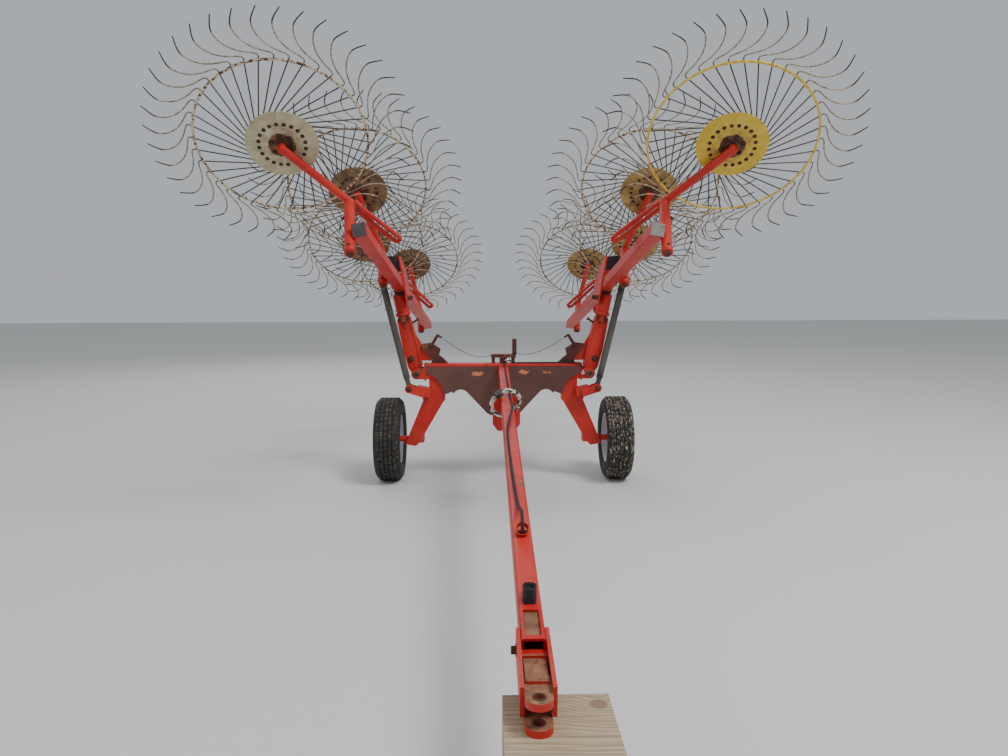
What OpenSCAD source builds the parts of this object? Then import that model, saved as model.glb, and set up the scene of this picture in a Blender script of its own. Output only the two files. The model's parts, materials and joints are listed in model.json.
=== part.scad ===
// Carted rotary hay rake: eight finger wheels on two folding wings, a drawbar, an axle frame on two tyres.
// Millimetres. X is the machine's left, Y points to the rear, Z is up. Ground is Z = 0.
// Both wings stand folded up, as the rake is parked, with the hitch on a timber block.

/* [Overall] */
// distance from the origin back to the axle and crossbeam line
axle_y = 990; // [900:1:1300]
// height of the wing hinge pin above the ground
hinge_z = 844; // [700:1:1000]
// distance from the crossbeam tube's end to the axis of a wing hinge
hinge_gap = 70; // [50:1:140]
// lean of a folded wing out of the vertical, in degrees
fold_lean = 10; // [5:0.5:20]

/* [Tyres] */
// outside diameter of a tyre
tyre_d = 650; // [560:5:700]
// width of a tyre
tyre_w = 205; // [150:5:240]
// distance of a tyre's middle from the machine's middle
track_half = 890; // [800:5:1000]
// diameter of the rim's bead seat
rim_d = 385; // [340:5:410]
// spindle diameter
spindle_d = 45; // [35:1:60]

/* [Frame] */
// side of the square crossbeam tube
xbeam_s = 120; // [80:5:160]
// wall of the tubes
tube_wall = 8; // [4:1:12]
// half length of the crossbeam tube
xbeam_half = 600; // [500:5:660]
// diameter of the wing hinge pins
hinge_pin_d = 38; // [20:1:45]
// outside diameter of the hinge bosses
hinge_boss_d = 84; // [60:1:110]
// thickness of the fork plates at the hinges
fork_t = 15; // [8:1:25]
// depth of the scalloped front plate at its middle
gusset_h = 385; // [250:5:450]
// thickness of the front plate
gusset_t = 12; // [6:1:20]
// radius of the round head of a wheel leg
leg_head_r = 200; // [150:5:240]
// depth of a wheel leg, front to back
leg_w = 100; // [70:5:110]

/* [Drawbar] */
// width of the drawbar tube
bar_w = 76; // [60:1:120]
// height of the drawbar tube
bar_h = 100; // [80:5:140]
// distance from the axle line to the front end of the tube
bar_len = 3810; // [3000:10:4500]
// height of the tube's middle at its front end
bar_front_z = 437; // [350:1:600]
// distance from the tube's front end to the hitch pin
hitch_reach = 240; // [180:5:400]
// height of the hitch pin's middle
hitch_z = 392; // [300:1:600]
// bore for the hitch pin
hitch_bore = 26; // [20:1:40]
// outside diameter of the hitch lugs
lug_d = 76; // [60:1:120]
// thickness of each hitch lug
lug_t = 21; // [15:1:40]
// open height between the lugs
lug_gap = 52; // [40:1:100]
// thickness of the cheek plates beside the tongue
cheek_t = 12; // [6:1:20]

/* [Wing] */
// side of the square wing beam
beam_s = 80; // [60:5:100]
// place of the beam's front end, from the axle line
beam_front = -1560; // [-1800:10:-1200]
// place of the beam's rear end, from the axle line
beam_rear = 1780; // [1000:10:2000]
// distance of the beam from the hinge pin, at the axle line
beam_out = 670; // [550:1:800]
// slope of the beam towards the hinge line, per unit of length rearwards
beam_slope = 0.21; // [0.1:0.005:0.4]
// angle of the rake wheels' axes out of the fore and aft line
wheel_yaw = 44; // [30:1:60]
// place of the first pivot sleeve
sleeve_first = -1510; // [-1600:1:-1300]
// step from one sleeve to the next
sleeve_step = 1080; // [800:5:1200]
// outside diameter of a pivot sleeve
sleeve_d = 62; // [50:1:80]
// outside diameter of the lift arm's head tube
arm_tube_d = 94; // [70:1:110]

/* [Rake wheels] */
// overall diameter over the tine tips
wheel_d = 1460; // [1300:10:1600]
// diameter of the ring that carries the tines
ring_d = 940; // [800:10:1100]
// diameter of the hub disc
disc_d = 400; // [300:5:450]
// number of tines on a wheel
tine_count = 40; // [32:1:44]
// thickness of a tine
tine_t = 7; // [5:0.5:10]
// lean of the tines out of the wheel's plane, in degrees
tine_cone = 6.5; // [0:0.5:12]
// length of a wheel arm from its pivot to the wheel's axle
arm_len = 495; // [350:5:550]
// diameter of an arm tube
arm_d = 48; // [35:1:60]

/* [Lift cylinder] */
// outside diameter of the barrel
barrel_d = 50; // [40:1:70]
// diameter of the rod
rod_d = 30; // [20:1:40]
// pins at both ends
cyl_pin_d = 25; // [16:1:30]

/* [Cords] */
// diameter of the hose along the drawbar
hose_d = 13; // [8:1:20]
// diameter of the hose along the crossbeam
side_hose_d = 10; // [6:1:16]
// diameter of the coiled pull rope
rope_d = 12; // [8:1:18]
// diameter of the cords to the latches
latch_cord_d = 5; // [4:1:8]

/* [Hidden] */
$fn = 48;
hinge_x = xbeam_half + hinge_gap;         // distance of each hinge pin from the middle
slack = 0.4;                              // extra diameter of a bore over its pin
arm_swings = [32, 5, 26, -2];             // swing of each wheel arm in its sleeve, front to rear
arm_bars = [true, false, true, false];    // which arms have a bent bar behind the sleeve
sleeve_low = [150, 70, 70, 70];           // how far each sleeve reaches in front of the beam's line
sleeve_high = 284;                        // how far every sleeve reaches behind the beam's line
arm_at = sleeve_high + arm_d / 2;         // from the beam's line to the arm, along the sleeve
disc_at = arm_at + 87;                    // from the beam's line to the wheel's ring
bent_bar_d = 27;                          // diameter of the bent bar
bent_bar_half = 19;                       // half distance between its two legs
bent_bar_len = 400;                       // length of its legs
arm_lean = 2.6;                           // lean of the lift arm's body inside the wing's frame, in degrees
arm_half_y = 45;                          // half depth of the lift arm's body
ring_z = 462;                             // place of the collar on the lift arm
saddle_t = 12;                            // thickness of the saddle's plates
cyl_low = [54, -107];                     // lower cylinder pin from the hinge pin: X, Z, folded wing
cyl_top = [129, 909];                     // rod eye in the wing's frame: X, Z
cyl_y = -105;                             // place of the cylinder along the machine
eye_half = 20;                            // half width of the cylinder's eyes
ear_gap = 12;                             // free space between an eye and the ears that hold it
ear_t = 12;                               // thickness of the ears
hinge_y = 55;                             // half width of the fork at the hinge
xbeam_z = hinge_z + 18;                   // height of the crossbeam's middle
xbeam_top = xbeam_z + xbeam_s / 2;
plate_front = -xbeam_s / 2 - gusset_t;    // front face of the scalloped plate
bar_tilt = atan((xbeam_z - bar_front_z) / (bar_len + plate_front));
hitch_len = bar_len + hitch_reach;
lug_pitch = lug_gap + lug_t;
tail = (wheel_d - ring_d) / 2;            // depth of the free tine ends outside the ring

// Places a child on one side: drawn for the left (plus X), mirrored for the right.
module on_side(side) {
    mirror([side < 0 ? 1 : 0, 0, 0]) children();
}

// The axle frame's origin: middle of the machine, on the ground, under the crossbeam.
module at_axle() {
    translate([0, axle_y, 0]) children();
}

// A wing's own frame: origin on the hinge pin, Z along the lift arm, X away from the machine.
module wing_frame(side) {
    at_axle() on_side(side) translate([hinge_x, 0, hinge_z]) rotate([0, fold_lean, 0]) children();
}

// The beam's height in the wing's frame at a place along it.
function beam_z(y) = beam_out - beam_slope * y;

// Where the axis of sleeve k meets the beam's line.
function sleeve_y(k) = sleeve_first + (k - 1) * sleeve_step;

// Height of the drawbar's top face at a place along the machine.
function bar_top(y) = xbeam_z + bar_h / 2 + (y - plate_front) * tan(bar_tilt);

// A rectangle with round corners, centred on the origin.
module soft_bar(w, h, r) {
    square([w - 2 * r, h], center = true);
    square([w, h - 2 * r], center = true);
    for (x = [-1, 1], y = [-1, 1])
        translate([x * (w / 2 - r), y * (h / 2 - r)]) circle(r = r, $fn = 24);
}

// A rod lying along Y, centred on the origin.
module along_y(d, length) {
    rotate([90, 0, 0]) cylinder(d = d, h = length, center = true);
}

// A plate of an outline in X and Z, from y to y + t.
module plate_xz(y, t) {
    translate([0, y + t, 0]) rotate([90, 0, 0]) linear_extrude(t) children();
}

module crossbeam() {
    cap = 14;
    color("firebrick") at_axle() {
        translate([0, 0, xbeam_z]) rotate([90, 0, 90]) linear_extrude(2 * xbeam_half, center = true)
            difference() {
                soft_bar(xbeam_s, xbeam_s, 14);
                soft_bar(xbeam_s - 2 * tube_wall, xbeam_s - 2 * tube_wall, 6);
            }
        for (side = [1, -1]) on_side(side) {
            // end cap and the fork that holds the hinge pin
            translate([xbeam_half, -hinge_y - fork_t, xbeam_top - xbeam_s - 10])
                cube([cap, 2 * (hinge_y + fork_t), xbeam_s + 10]);
            for (y = [-hinge_y - fork_t, hinge_y]) plate_xz(y, fork_t) difference() {
                union() {
                    translate([xbeam_half + cap, hinge_z - hinge_boss_d / 2])
                        square([hinge_x - xbeam_half - cap, hinge_boss_d]);
                    translate([hinge_x, hinge_z]) circle(d = hinge_boss_d);
                }
                translate([hinge_x, hinge_z]) circle(d = hinge_pin_d + slack);
            }
        }
    }
}

module hinge_pins() {
    head = 12;
    color("dimgray") at_axle() for (side = [1, -1]) on_side(side) translate([hinge_x, 0, hinge_z]) {
        along_y(hinge_pin_d, 2 * (hinge_y + fork_t + head));
        for (y = [-1, 1]) translate([0, y * (hinge_y + fork_t + 3 + head / 2), 0])
            along_y(hinge_pin_d + 14, head);
    }
}

// Height of a point of the front plate: a share of its depth below its top edge.
function plate_z(share) = xbeam_top - 22 - share * gusset_h;

// Middle of the round head of a wheel leg: X and Z.
leg_head = [hinge_x - 15, hinge_z - 184];

module gusset() {
    color("brown") at_axle() plate_xz(plate_front, gusset_t) for (side = [1, -1])
        scale([side, 1]) difference() {
        polygon([[0, plate_z(0)], [xbeam_half - 4, plate_z(0)], [xbeam_half - 4, plate_z(0.566)],
                 [454, plate_z(0.566)], [400, plate_z(0.51)], [385, plate_z(0.543)], [330, plate_z(0.634)],
                 [282, plate_z(0.52)], [127, plate_z(0.951)], [100, plate_z(0.99)], [0, plate_z(1)]]);
        translate([330, plate_z(0.634)]) circle(r = 65);
        translate(leg_head) circle(r = leg_head_r, $fn = 96);
    }
}

// Frame of the drawbar: origin at its rear end on the front plate, Y along the tube, Z up from its middle.
module on_drawbar() {
    translate([0, plate_front, xbeam_z]) rotate([bar_tilt, 0, 0]) children();
}

bar_run = (bar_len + plate_front) / cos(bar_tilt);    // length of the tube along itself
cowl_at = bar_run - 740;                              // from the tube's rear end to the hose cowl
hanger_y = -905;                                      // place of the plate under the drawbar

module drawbar() {
    color("firebrick") at_axle() difference() {
        union() {
            on_drawbar() {
                translate([0, 40, 0]) rotate([90, 0, 0])
                    linear_extrude(bar_run + 40) soft_bar(bar_w, bar_h, 12);
                // short pipe that takes the hose
                translate([0, -cowl_at, bar_h / 2 - 2]) rotate([55, 0, 0]) cylinder(d = 50, h = 62);
            }
            plate_xz(hanger_y, 10) polygon([[-bar_w / 2 - 54, bar_top(hanger_y) - 38],
                [bar_w / 2 + 54, bar_top(hanger_y) - 38], [bar_w / 2 + 54, bar_top(hanger_y) - 220],
                [bar_w / 2 + 20, bar_top(hanger_y) - 266], [-bar_w / 2 - 20, bar_top(hanger_y) - 266],
                [-bar_w / 2 - 54, bar_top(hanger_y) - 220]]);
        }
        on_drawbar() {
            // hollow from the front end, a slot in the top and the bore of the short pipe
            translate([0, -120, 0]) rotate([90, 0, 0]) linear_extrude(bar_run)
                soft_bar(bar_w - 2 * tube_wall, bar_h - 2 * tube_wall, 5);
            translate([-24, -bar_run + 20, 0]) cube([48, 140, bar_h]);
            translate([0, -cowl_at, bar_h / 2 - 2]) rotate([55, 0, 0]) cylinder(d = 44, h = 63);
        }
        // the rear end is cut to the front plate
        translate([-bar_w, plate_front, xbeam_z - 2 * bar_h]) cube([2 * bar_w, 80, 4 * bar_h]);
    }
}

module hitch_clevis() {
    tongue = 66;
    block = 44;
    top = lug_pitch / 2 + lug_t / 2;
    front_z = bar_front_z - hitch_z;
    color("saddlebrown") at_axle() translate([0, -hitch_len, hitch_z]) {
        for (z = [-lug_pitch / 2, lug_pitch / 2]) difference() {
            union() {
                translate([0, 0, z]) cylinder(d = lug_d, h = lug_t, center = true);
                translate([-lug_d / 2, 0, z - lug_t / 2]) cube([lug_d, 66 + block, lug_t]);
            }
            translate([0, 0, z]) cylinder(d = hitch_bore, h = lug_t + 2, center = true);
        }
        translate([-lug_d / 2, 66, -top]) cube([lug_d, block, 2 * top]);
        // tongue between the cheeks, up to the tube's front end
        translate([-tongue / 2, 66, front_z - 40]) cube([tongue, hitch_reach - 67, 50]);
        translate([-bar_w / 2, hitch_reach - 46, front_z - 44]) cube([bar_w, 38, 62]);
        for (x = [-bar_w / 2 - cheek_t, bar_w / 2]) translate([x, hitch_reach, front_z])
            rotate([bar_tilt, 0, 0]) translate([0, 20 - hitch_reach, -45])
                cube([cheek_t, hitch_reach + 50, 90]);
    }
}

module timber_block() {
    color("burlywood") at_axle()
        translate([-94, -hitch_len - 130, 0]) cube([305, 310, hitch_z - lug_pitch / 2 - lug_t / 2]);
}

module hose_coupler() {
    color("black") at_axle() on_drawbar() translate([0, 215 - bar_run, bar_h / 2]) {
        translate([-18, -22, 0]) cube([36, 82, 5]);
        difference() {
            cylinder(d = 45, h = 48);
            translate([0, 0, 38]) cylinder(d = 33, h = 12);
        }
        translate([0, 44, 0]) {
            cylinder(d = 20, h = 36);
            for (z = [12, 20, 28]) translate([0, 0, z]) cylinder(d = 25, h = 4);
        }
    }
}

module centre_bracket() {
    plate_h = 68;
    leg = 26;
    color("maroon") at_axle() translate([0, 0, xbeam_top]) {
        translate([-95, -40, plate_h - 24]) cube([194, 80, 24]);
        for (x = [-90, 64]) translate([x, -30, 0]) cube([leg, 60, plate_h]);
        translate([71, -17, plate_h - 2]) cube([34, 34, 121]);
        translate([-28, -40, 0]) cube([56, 60, 38]);
    }
}

// Latch at each end of the crossbeam: two plates beside the lift arm's web, and a lever on a pin.
module latches() {
    side_y = 16;
    side_t = 12;
    pin = [556, 140];
    color("maroon") at_axle() for (side = [1, -1]) on_side(side) translate([0, 0, xbeam_top]) {
        translate([434, -44, 0]) cube([126, 88, 8]);
        for (y = [-side_y - side_t, side_y]) plate_xz(y, side_t)
            polygon([[434, 4], [560, 4], [552, 30], [630, 128], [630, 150], [559, 158], [488, 110], [500, 62],
                     [470, 40]]);
        translate([pin[0], 0, pin[1]]) along_y(16, 2 * (side_y + side_t) + 10);
        plate_xz(-7, 14) polygon([[546, 134], [566, 146], [520, 222], [506, 226], [474, 203], [480, 190],
                                  [503, 205]]);
    }
}

module wheel_leg(side) {
    pin = [hinge_x + cyl_low[0], hinge_z + cyl_low[1]];
    under = xbeam_top - xbeam_s;
    horn = [leg_head[0] - 95, leg_head[1] + 40];
    foot = [track_half - 165, tyre_d / 2];
    color("firebrick") at_axle() on_side(side) {
        translate([foot[0], 0, foot[1]]) rotate([0, 90, 0]) cylinder(d = spindle_d, h = 210);
        plate_xz(-leg_w / 2, leg_w) {
            intersection() {
                translate(leg_head) circle(r = leg_head_r, $fn = 96);
                translate([leg_head[0] - leg_head_r, leg_head[1] - 30])
                    square([leg_head_r - 78, under - leg_head[1] + 30]);
            }
            polygon([leg_head + [-197, -20], leg_head + [-79, 50], leg_head + [-65, 50], leg_head + [-15, 20],
                     leg_head + [-31, -24], foot + [7, 56], foot + [45, -37], foot + [-40, -52],
                     foot + [-65, -25], foot + [-101, -25], foot + [-101, 33]]);
        }
        // horn for the lower cylinder pin
        translate([horn[0], cyl_y - 30, horn[1]]) rotate([0, -11.5, 0]) translate([0, 0, -31])
            cube([110, -cyl_y + 30 - 5, 62]);
        difference() {
            for (y = [cyl_y - eye_half - ear_gap - ear_t, cyl_y + eye_half + ear_gap]) plate_xz(y, ear_t) {
                translate(pin) circle(d = 64);
                translate(pin) rotate(198) translate([0, -31]) square([130, 62]);
            }
            translate([pin[0], cyl_y, pin[1]]) along_y(cyl_pin_d + slack, 120);
        }
        translate([pin[0], cyl_y, pin[1]]) along_y(cyl_pin_d, 2 * (eye_half + ear_gap + ear_t) + 16);
    }
}

module tyre(side) {
    rr = tyre_d / 2;
    color("black") at_axle() translate([side * track_half, 0, rr]) rotate([0, 90, 0])
        rotate_extrude($fn = 96) difference() {
            polygon([[rim_d / 2, -tyre_w * 0.36], [rr - 70, -tyre_w / 2], [rr - 28, -tyre_w * 0.47],
                     [rr, -tyre_w * 0.36], [rr, tyre_w * 0.36], [rr - 28, tyre_w * 0.47],
                     [rr - 70, tyre_w / 2], [rim_d / 2, tyre_w * 0.36]]);
            for (x = [-48, -16, 16, 48]) translate([rr - 7, x - 3]) square([10, 6]);
        }
}

module rim(side) {
    color("white") at_axle() translate([side * track_half, 0, tyre_d / 2]) rotate([0, 90 * side, 0])
        rotate_extrude($fn = 96) {
            polygon([[spindle_d / 2 + 0.3, -60], [45, -60], [45, 5], [70, 5], [110, -25], [150, 5],
                     [rim_d / 2 - 12, 5], [rim_d / 2 - 12, -tyre_w * 0.4], [rim_d / 2, -tyre_w * 0.4],
                     [rim_d / 2, tyre_w * 0.4], [rim_d / 2 - 12, tyre_w * 0.4], [rim_d / 2 - 12, 15],
                     [150, 15], [110, -15], [70, 15], [45, 15], [45, 50], [spindle_d / 2 + 0.3, 50]]);
        }
}

// Frame of the wing beam: Y along its middle line, Z away from the hinge.
module beam_frame() {
    translate([0, 0, beam_out]) rotate([-atan(beam_slope), 0, 0]) children();
}

// Outline of the lift arm's channel in X and Z, drawn in by a margin at its sides.
module arm_outline(margin) {
    polygon([[-30 + margin, 0], [-55 + margin, 60], [-62 + margin, 190], [-51 + margin, 440],
             [51 - margin, 440], [62 - margin, 190], [55 - margin, 60], [30 - margin, 0]]);
}

module lift_arm(side) {
    plate = 10;
    boss_d = hinge_boss_d - 2;
    color("firebrick") wing_frame(side) difference() {
        union() {
            along_y(boss_d, 2 * hinge_y - 6);
            rotate([0, arm_lean, 0]) {
                plate_xz(12 - arm_half_y, 2 * arm_half_y - 24) arm_outline(0);
                plate_xz(-arm_half_y, 2 * arm_half_y) difference() {
                    arm_outline(0);
                    arm_outline(plate);
                }
                plate_xz(-arm_half_y, plate) polygon([[-26, 440], [0, 360], [26, 440]]);
                translate([-51, -arm_half_y, 432]) cube([102, 2 * arm_half_y, plate]);
                translate([0, 0, 436]) cylinder(d = arm_tube_d, h = beam_out - 436);
                translate([0, 0, ring_z]) cylinder(d = arm_tube_d + 25, h = 22);
            }
            // inboard web that the latch holds
            plate_xz(-8, 16) polygon([[-45, 300], [-30, 200], [-30, 96], [-60, 90], [-131, 76], [-128, 92]]);
        }
        along_y(hinge_pin_d + slack, 200);
        // the head ends at the saddle's foot
        beam_frame() translate([-2 * beam_s, -3 * beam_s, -beam_s / 2 - saddle_t])
            cube([4 * beam_s, 6 * beam_s, 3 * beam_s]);
    }
}

// Black saddle round the beam on top of the arm, and the ears for the rod's eye.
module beam_clamp(side) {
    half = beam_s / 2;
    saddle_half = 55;
    ear_r = 34;
    color("black") wing_frame(side) {
        beam_frame() {
            translate([-half, -saddle_half, -half - saddle_t])
                cube([beam_s + saddle_t, 2 * saddle_half, saddle_t]);
            translate([half, -saddle_half, -half]) cube([saddle_t, 2 * saddle_half, 60]);
        }
        for (y = [cyl_y - eye_half - ear_gap - ear_t, cyl_y + eye_half + ear_gap]) plate_xz(y, ear_t) {
            translate(cyl_top) circle(r = ear_r);
            polygon([[-half, 790], [-half, 900], [cyl_top[0] - 6, cyl_top[1] + ear_r - 1],
                     [cyl_top[0] + 18, cyl_top[1] - ear_r + 5]]);
        }
        // heads of the eye's pin, outside both ears
        for (y = [-1, 1]) translate([cyl_top[0], cyl_y + y * (eye_half + ear_gap + ear_t + 6), cyl_top[1]])
            along_y(cyl_pin_d + 16, 12);
    }
}

module wing_beam(side) {
    run = 1 / cos(atan(beam_slope));
    half = beam_s / 2;
    color("firebrick") wing_frame(side) {
        beam_frame() {
            translate([0, beam_rear * run, 0]) rotate([90, 0, 0])
                linear_extrude((beam_rear - beam_front) * run)
                difference() {
                    soft_bar(beam_s, beam_s, 8);
                    square(beam_s - 2 * tube_wall, center = true);
                }
            translate([-half - 2, beam_front * run - 8, -half - 2]) cube([beam_s + 4, 8, beam_s + 4]);
        }
        // index plate on the beam's inboard face
        translate([-half - 12, 0, beam_out]) rotate([90, 0, 90]) linear_extrude(12)
            polygon([[-160, -115], [140, -115], [140, 130], [-55, 230], [-160, 230]]);
        for (k = [1 : 4]) sleeve_place(k) difference() {
            translate([0, 0, -sleeve_low[k - 1]]) cylinder(d = sleeve_d, h = sleeve_low[k - 1] + sleeve_high);
            translate([0, 0, -sleeve_high]) cylinder(d = arm_d + 1, h = 3 * sleeve_high);
        }
    }
}

// Frame of sleeve k: Z runs along its axis, from the beam back to the wheel's side.
module sleeve_place(k) {
    translate([beam_s / 2 + sleeve_d / 2 - 6, sleeve_y(k), beam_z(sleeve_y(k))])
        rotate([wheel_yaw - 90, 0, 0]) children();
}

// The wheel arms: a tube through each sleeve, the arm out to the wheel's axle and a bent bar behind some.
module wheel_arms(side) {
    spindle = 36;
    color("firebrick") wing_frame(side) for (k = [1 : 4]) sleeve_place(k) rotate([0, 0, arm_swings[k - 1]]) {
        translate([0, 0, -sleeve_low[k - 1] - 14])
            cylinder(d = arm_d - 2, h = arm_at + sleeve_low[k - 1] + 14);
        translate([0, 0, -sleeve_low[k - 1] - 10]) cylinder(d = sleeve_d, h = 9);
        translate([0, 34, arm_at]) rotate([90, 0, 0]) cylinder(d = arm_d, h = arm_len + 34 + spindle / 2 + 4);
        // the wheel's spindle with its shoulder and end nut
        translate([0, -arm_len, arm_at - arm_d / 2 - 6])
            cylinder(d = spindle, h = disc_at - arm_at + arm_d / 2 + 46);
        translate([0, -arm_len, arm_at]) cylinder(d = spindle + 8, h = disc_at - arm_at + hub_back - 4);
        translate([0, -arm_len, disc_at + 27]) cylinder(d = 50, h = 13, $fn = 6);
        if (arm_bars[k - 1]) bent_bar();
    }
}

// The bent bar behind the sleeve of every other arm.
module bent_bar() {
    foot = 22;
    for (x = [-bent_bar_half, bent_bar_half]) translate([x, foot, arm_at])
        rotate([-90, 0, 0]) cylinder(d = bent_bar_d, h = bent_bar_len - foot);
    translate([-bent_bar_half - bent_bar_d / 2, foot, arm_at - bent_bar_d / 2])
        cube([2 * bent_bar_half + bent_bar_d, 30, bent_bar_d]);
    translate([0, bent_bar_len, arm_at]) rotate_extrude(angle = 180)
        translate([bent_bar_half, 0]) circle(d = bent_bar_d);
}

// Frame of rake wheel k: Z along its axle, pointing to the tine side.
module wheel_place(side, k) {
    wing_frame(side) sleeve_place(k) rotate([0, 0, arm_swings[k - 1]])
        translate([0, -arm_len, disc_at]) children();
}

hub_back = -58;               // machine side end of the hub, from the ring's plane
tine_foot_x = -85;            // where a tine ends on the hub disc, across
tine_foot_y = disc_d / 2 - 40;

// Height of the disc's seat under the tines at a radius.
function seat(r) = let (across = norm([tine_foot_x, tine_foot_y]) - tine_foot_y)
    -(ring_d / 2 - r + across) * sin(tine_cone) - tine_t / 2 * cos(tine_cone) - 0.45;

module disc(side, k) {
    rim = disc_d / 2;
    dish = seat(rim - 50);
    sheet = 6;
    holes = 20;
    bolts = 6;
    color("khaki") wheel_place(side, k) difference() {
        rotate_extrude($fn = 96) polygon([[18.5, hub_back], [40, hub_back], [40, dish - 10], [80, dish - 10],
            [96, dish - sheet - 1], [rim - 50, dish - sheet], [rim, seat(rim) - sheet], [rim, seat(rim)],
            [rim - 50, dish], [96, dish - 1], [80, dish - 3], [40, dish - 3], [40, 22], [18.5, 22]]);
        for (i = [1 : holes]) rotate([0, 0, i * 360 / holes])
            translate([rim - 73, 0, dish - 20]) cylinder(d = 24, h = 40, $fn = 24);
        for (i = [1 : bolts]) rotate([0, 0, i * 360 / bolts])
            translate([60, 0, dish - 20]) cylinder(d = 13, h = 40, $fn = 24);
    }
}

// Middle line of one tine: a swept spoke, a tight hook outside the ring, a wide bend and a turned tip.
function tine_mid() = [
    [tine_foot_x, tine_foot_y], [0, ring_d / 2],
    [5, ring_d / 2 + 0.07 * tail], [-2, ring_d / 2 + 0.116 * tail],
    [-25, ring_d / 2 + 0.147 * tail], [-75, ring_d / 2 + 0.194 * tail], [-130, ring_d / 2 + 0.295 * tail],
    [-172, ring_d / 2 + 0.457 * tail], [-190, ring_d / 2 + 0.651 * tail], [-170, ring_d / 2 + 0.925 * tail]
];

function turn_at(p, i) = let (a = p[max(i - 1, 0)], b = p[min(i + 1, len(p) - 1)], d = b - a) d / norm(d);

module tine() {
    p = tine_mid();
    last = len(p) - 1;
    left = [for (i = [0 : last]) p[i] + tine_t / 2 * [-turn_at(p, i)[1], turn_at(p, i)[0]]];
    right = [for (i = [last : -1 : 0]) p[i] - tine_t / 2 * [-turn_at(p, i)[1], turn_at(p, i)[0]]];
    linear_extrude(tine_t) polygon(concat(left, right));
}

module tines(side, k) {
    color("gray") wheel_place(side, k) {
        for (i = [1 : tine_count]) rotate([0, 0, i * 360 / tine_count])
            translate([0, ring_d / 2, 0]) rotate([tine_cone, 0, 0])
                translate([0, -ring_d / 2, -tine_t / 2]) tine();
        rotate_extrude($fn = 96) translate([ring_d / 2, 0]) square([13, tine_t + 2], center = true);
    }
}

// Rod's eye from the hinge pin with the wing folded: X and Z.
eye = [cyl_top[0] * cos(fold_lean) + cyl_top[1] * sin(fold_lean),
       cyl_top[1] * cos(fold_lean) - cyl_top[0] * sin(fold_lean)];
cyl_len = norm(eye - cyl_low);
barrel_len = cyl_len - 164;

// Frame of a cylinder: origin on its lower pin, Z towards the rod's eye.
module cyl_frame(side) {
    at_axle() on_side(side) translate([hinge_x + cyl_low[0], cyl_y, hinge_z + cyl_low[1]])
        rotate([0, atan2(eye[0] - cyl_low[0], eye[1] - cyl_low[1]), 0]) children();
}

module barrel(side) {
    r = barrel_d / 2;
    color("gray") cyl_frame(side) difference() {
        union() {
            along_y(54, 2 * eye_half);
            rotate([0, 0, 35]) rotate_extrude() polygon([[0, 8], [19, 8], [19, 74], [r, 80],
                [r, barrel_len - 28], [r + 4, barrel_len - 26], [r + 4, barrel_len - 2], [r, barrel_len],
                [0, barrel_len]]);
        }
        along_y(cyl_pin_d + slack, 3 * eye_half);
        translate([0, 0, 110]) cylinder(d = rod_d + 1, h = cyl_len);
    }
}

module rod(side) {
    inner_end = 280;
    color("silver") cyl_frame(side) {
        translate([0, 0, inner_end]) cylinder(d = rod_d, h = cyl_len - inner_end - 10);
        translate([0, 0, cyl_len]) along_y(50, 2 * eye_half);
        translate([0, 0, cyl_len]) along_y(cyl_pin_d, 2 * (eye_half + 6));
    }
}

// A point on a smooth curve between b and c, with a before and d after them.
function curve(a, b, c, d, t) = 0.5 * (2 * b + (c - a) * t + (2 * a - 5 * b + 4 * c - d) * t * t
    + (3 * b - a - 3 * c + d) * t * t * t);

// Points along a route, about a step apart.
function along(r, step) = let (n = len(r) - 1) concat([for (i = [0 : n - 1])
    let (m = max(1, round(norm(r[i + 1] - r[i]) / step))) for (j = [0 : m - 1])
        curve(r[max(i - 1, 0)], r[i], r[i + 1], r[min(i + 2, n)], j / m)], [r[n]]);

// A round cord swept along a route that never runs along the direction "across".
module cord(route, d, across, sides) {
    p = along(route, 3 * d);
    last = len(p) - 1;
    points = [for (i = [0 : last])
        let (t = turn_at(p, i), v = cross(t, across) / norm(cross(t, across)), w = cross(t, v))
        for (k = [0 : sides - 1])
            p[i] + d / 2 * (cos(k * 360 / sides) * v + sin(k * 360 / sides) * w)];
    walls = [for (i = [0 : last - 1], k = [0 : sides - 1]) let (a = i * sides + k,
        b = i * sides + (k + 1) % sides) each [[a, a + sides, b + sides], [a, b + sides, b]]];
    ends = [[for (k = [0 : sides - 1]) k], [for (k = [sides - 1 : -1 : 0]) last * sides + k]];
    at_axle() polyhedron(points, concat(walls, ends), convexity = 10);
}

// Route of the drawbar hose: X, Y and height above the drawbar's top.
hose_route = [
    [16, -41, 30], [14, -90, 22], [12, -150, 9], [10, -270, 7.5], [10, -400, 7.5], [12, -540, 7.5],
    [14, -700, 7.5], [16, -860, 7.5], [17, -1010, 7.5], [24, -1150, 8], [27, -1300, 16], [18, -1450, 22],
    [0, -1600, 18], [-16, -1760, 9], [-20, -1920, 7.5], [-18, -2180, 7.5], [-16, -2380, 7.5], [-12, -2580, 7.5],
    [-8, -2740, 7.5], [-4, -2850, 12], [-2, -2940, 32], [0, -3000, 54], [0, -3050, 69], [0, -3095, 74.5],
    [0, -3116, 69.5], [0, -3130, 59.5], [0, -3138.5, 44.5], [0, -3141, 22]
];

// Route of the side hose: X, Y and height above the crossbeam's top.
side_route = [
    [28, -24, 24], [36, -24.5, 24], [52, -35, 20], [70, -46, 10], [94, -51, 5.5], [130, -51, 5.5], [180, -50, 5.5],
    [240, -51, 5.5], [300, -52, 5.5], [360, -51, 5.5], [420, -52, 5.5], [480, -53, 5.5], [530, -56, 5.5], [560, -63, 4],
    [585, -73, -1], [602, -79, -12], [613, -80, -28], [618, -80, -50]
];

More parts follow.
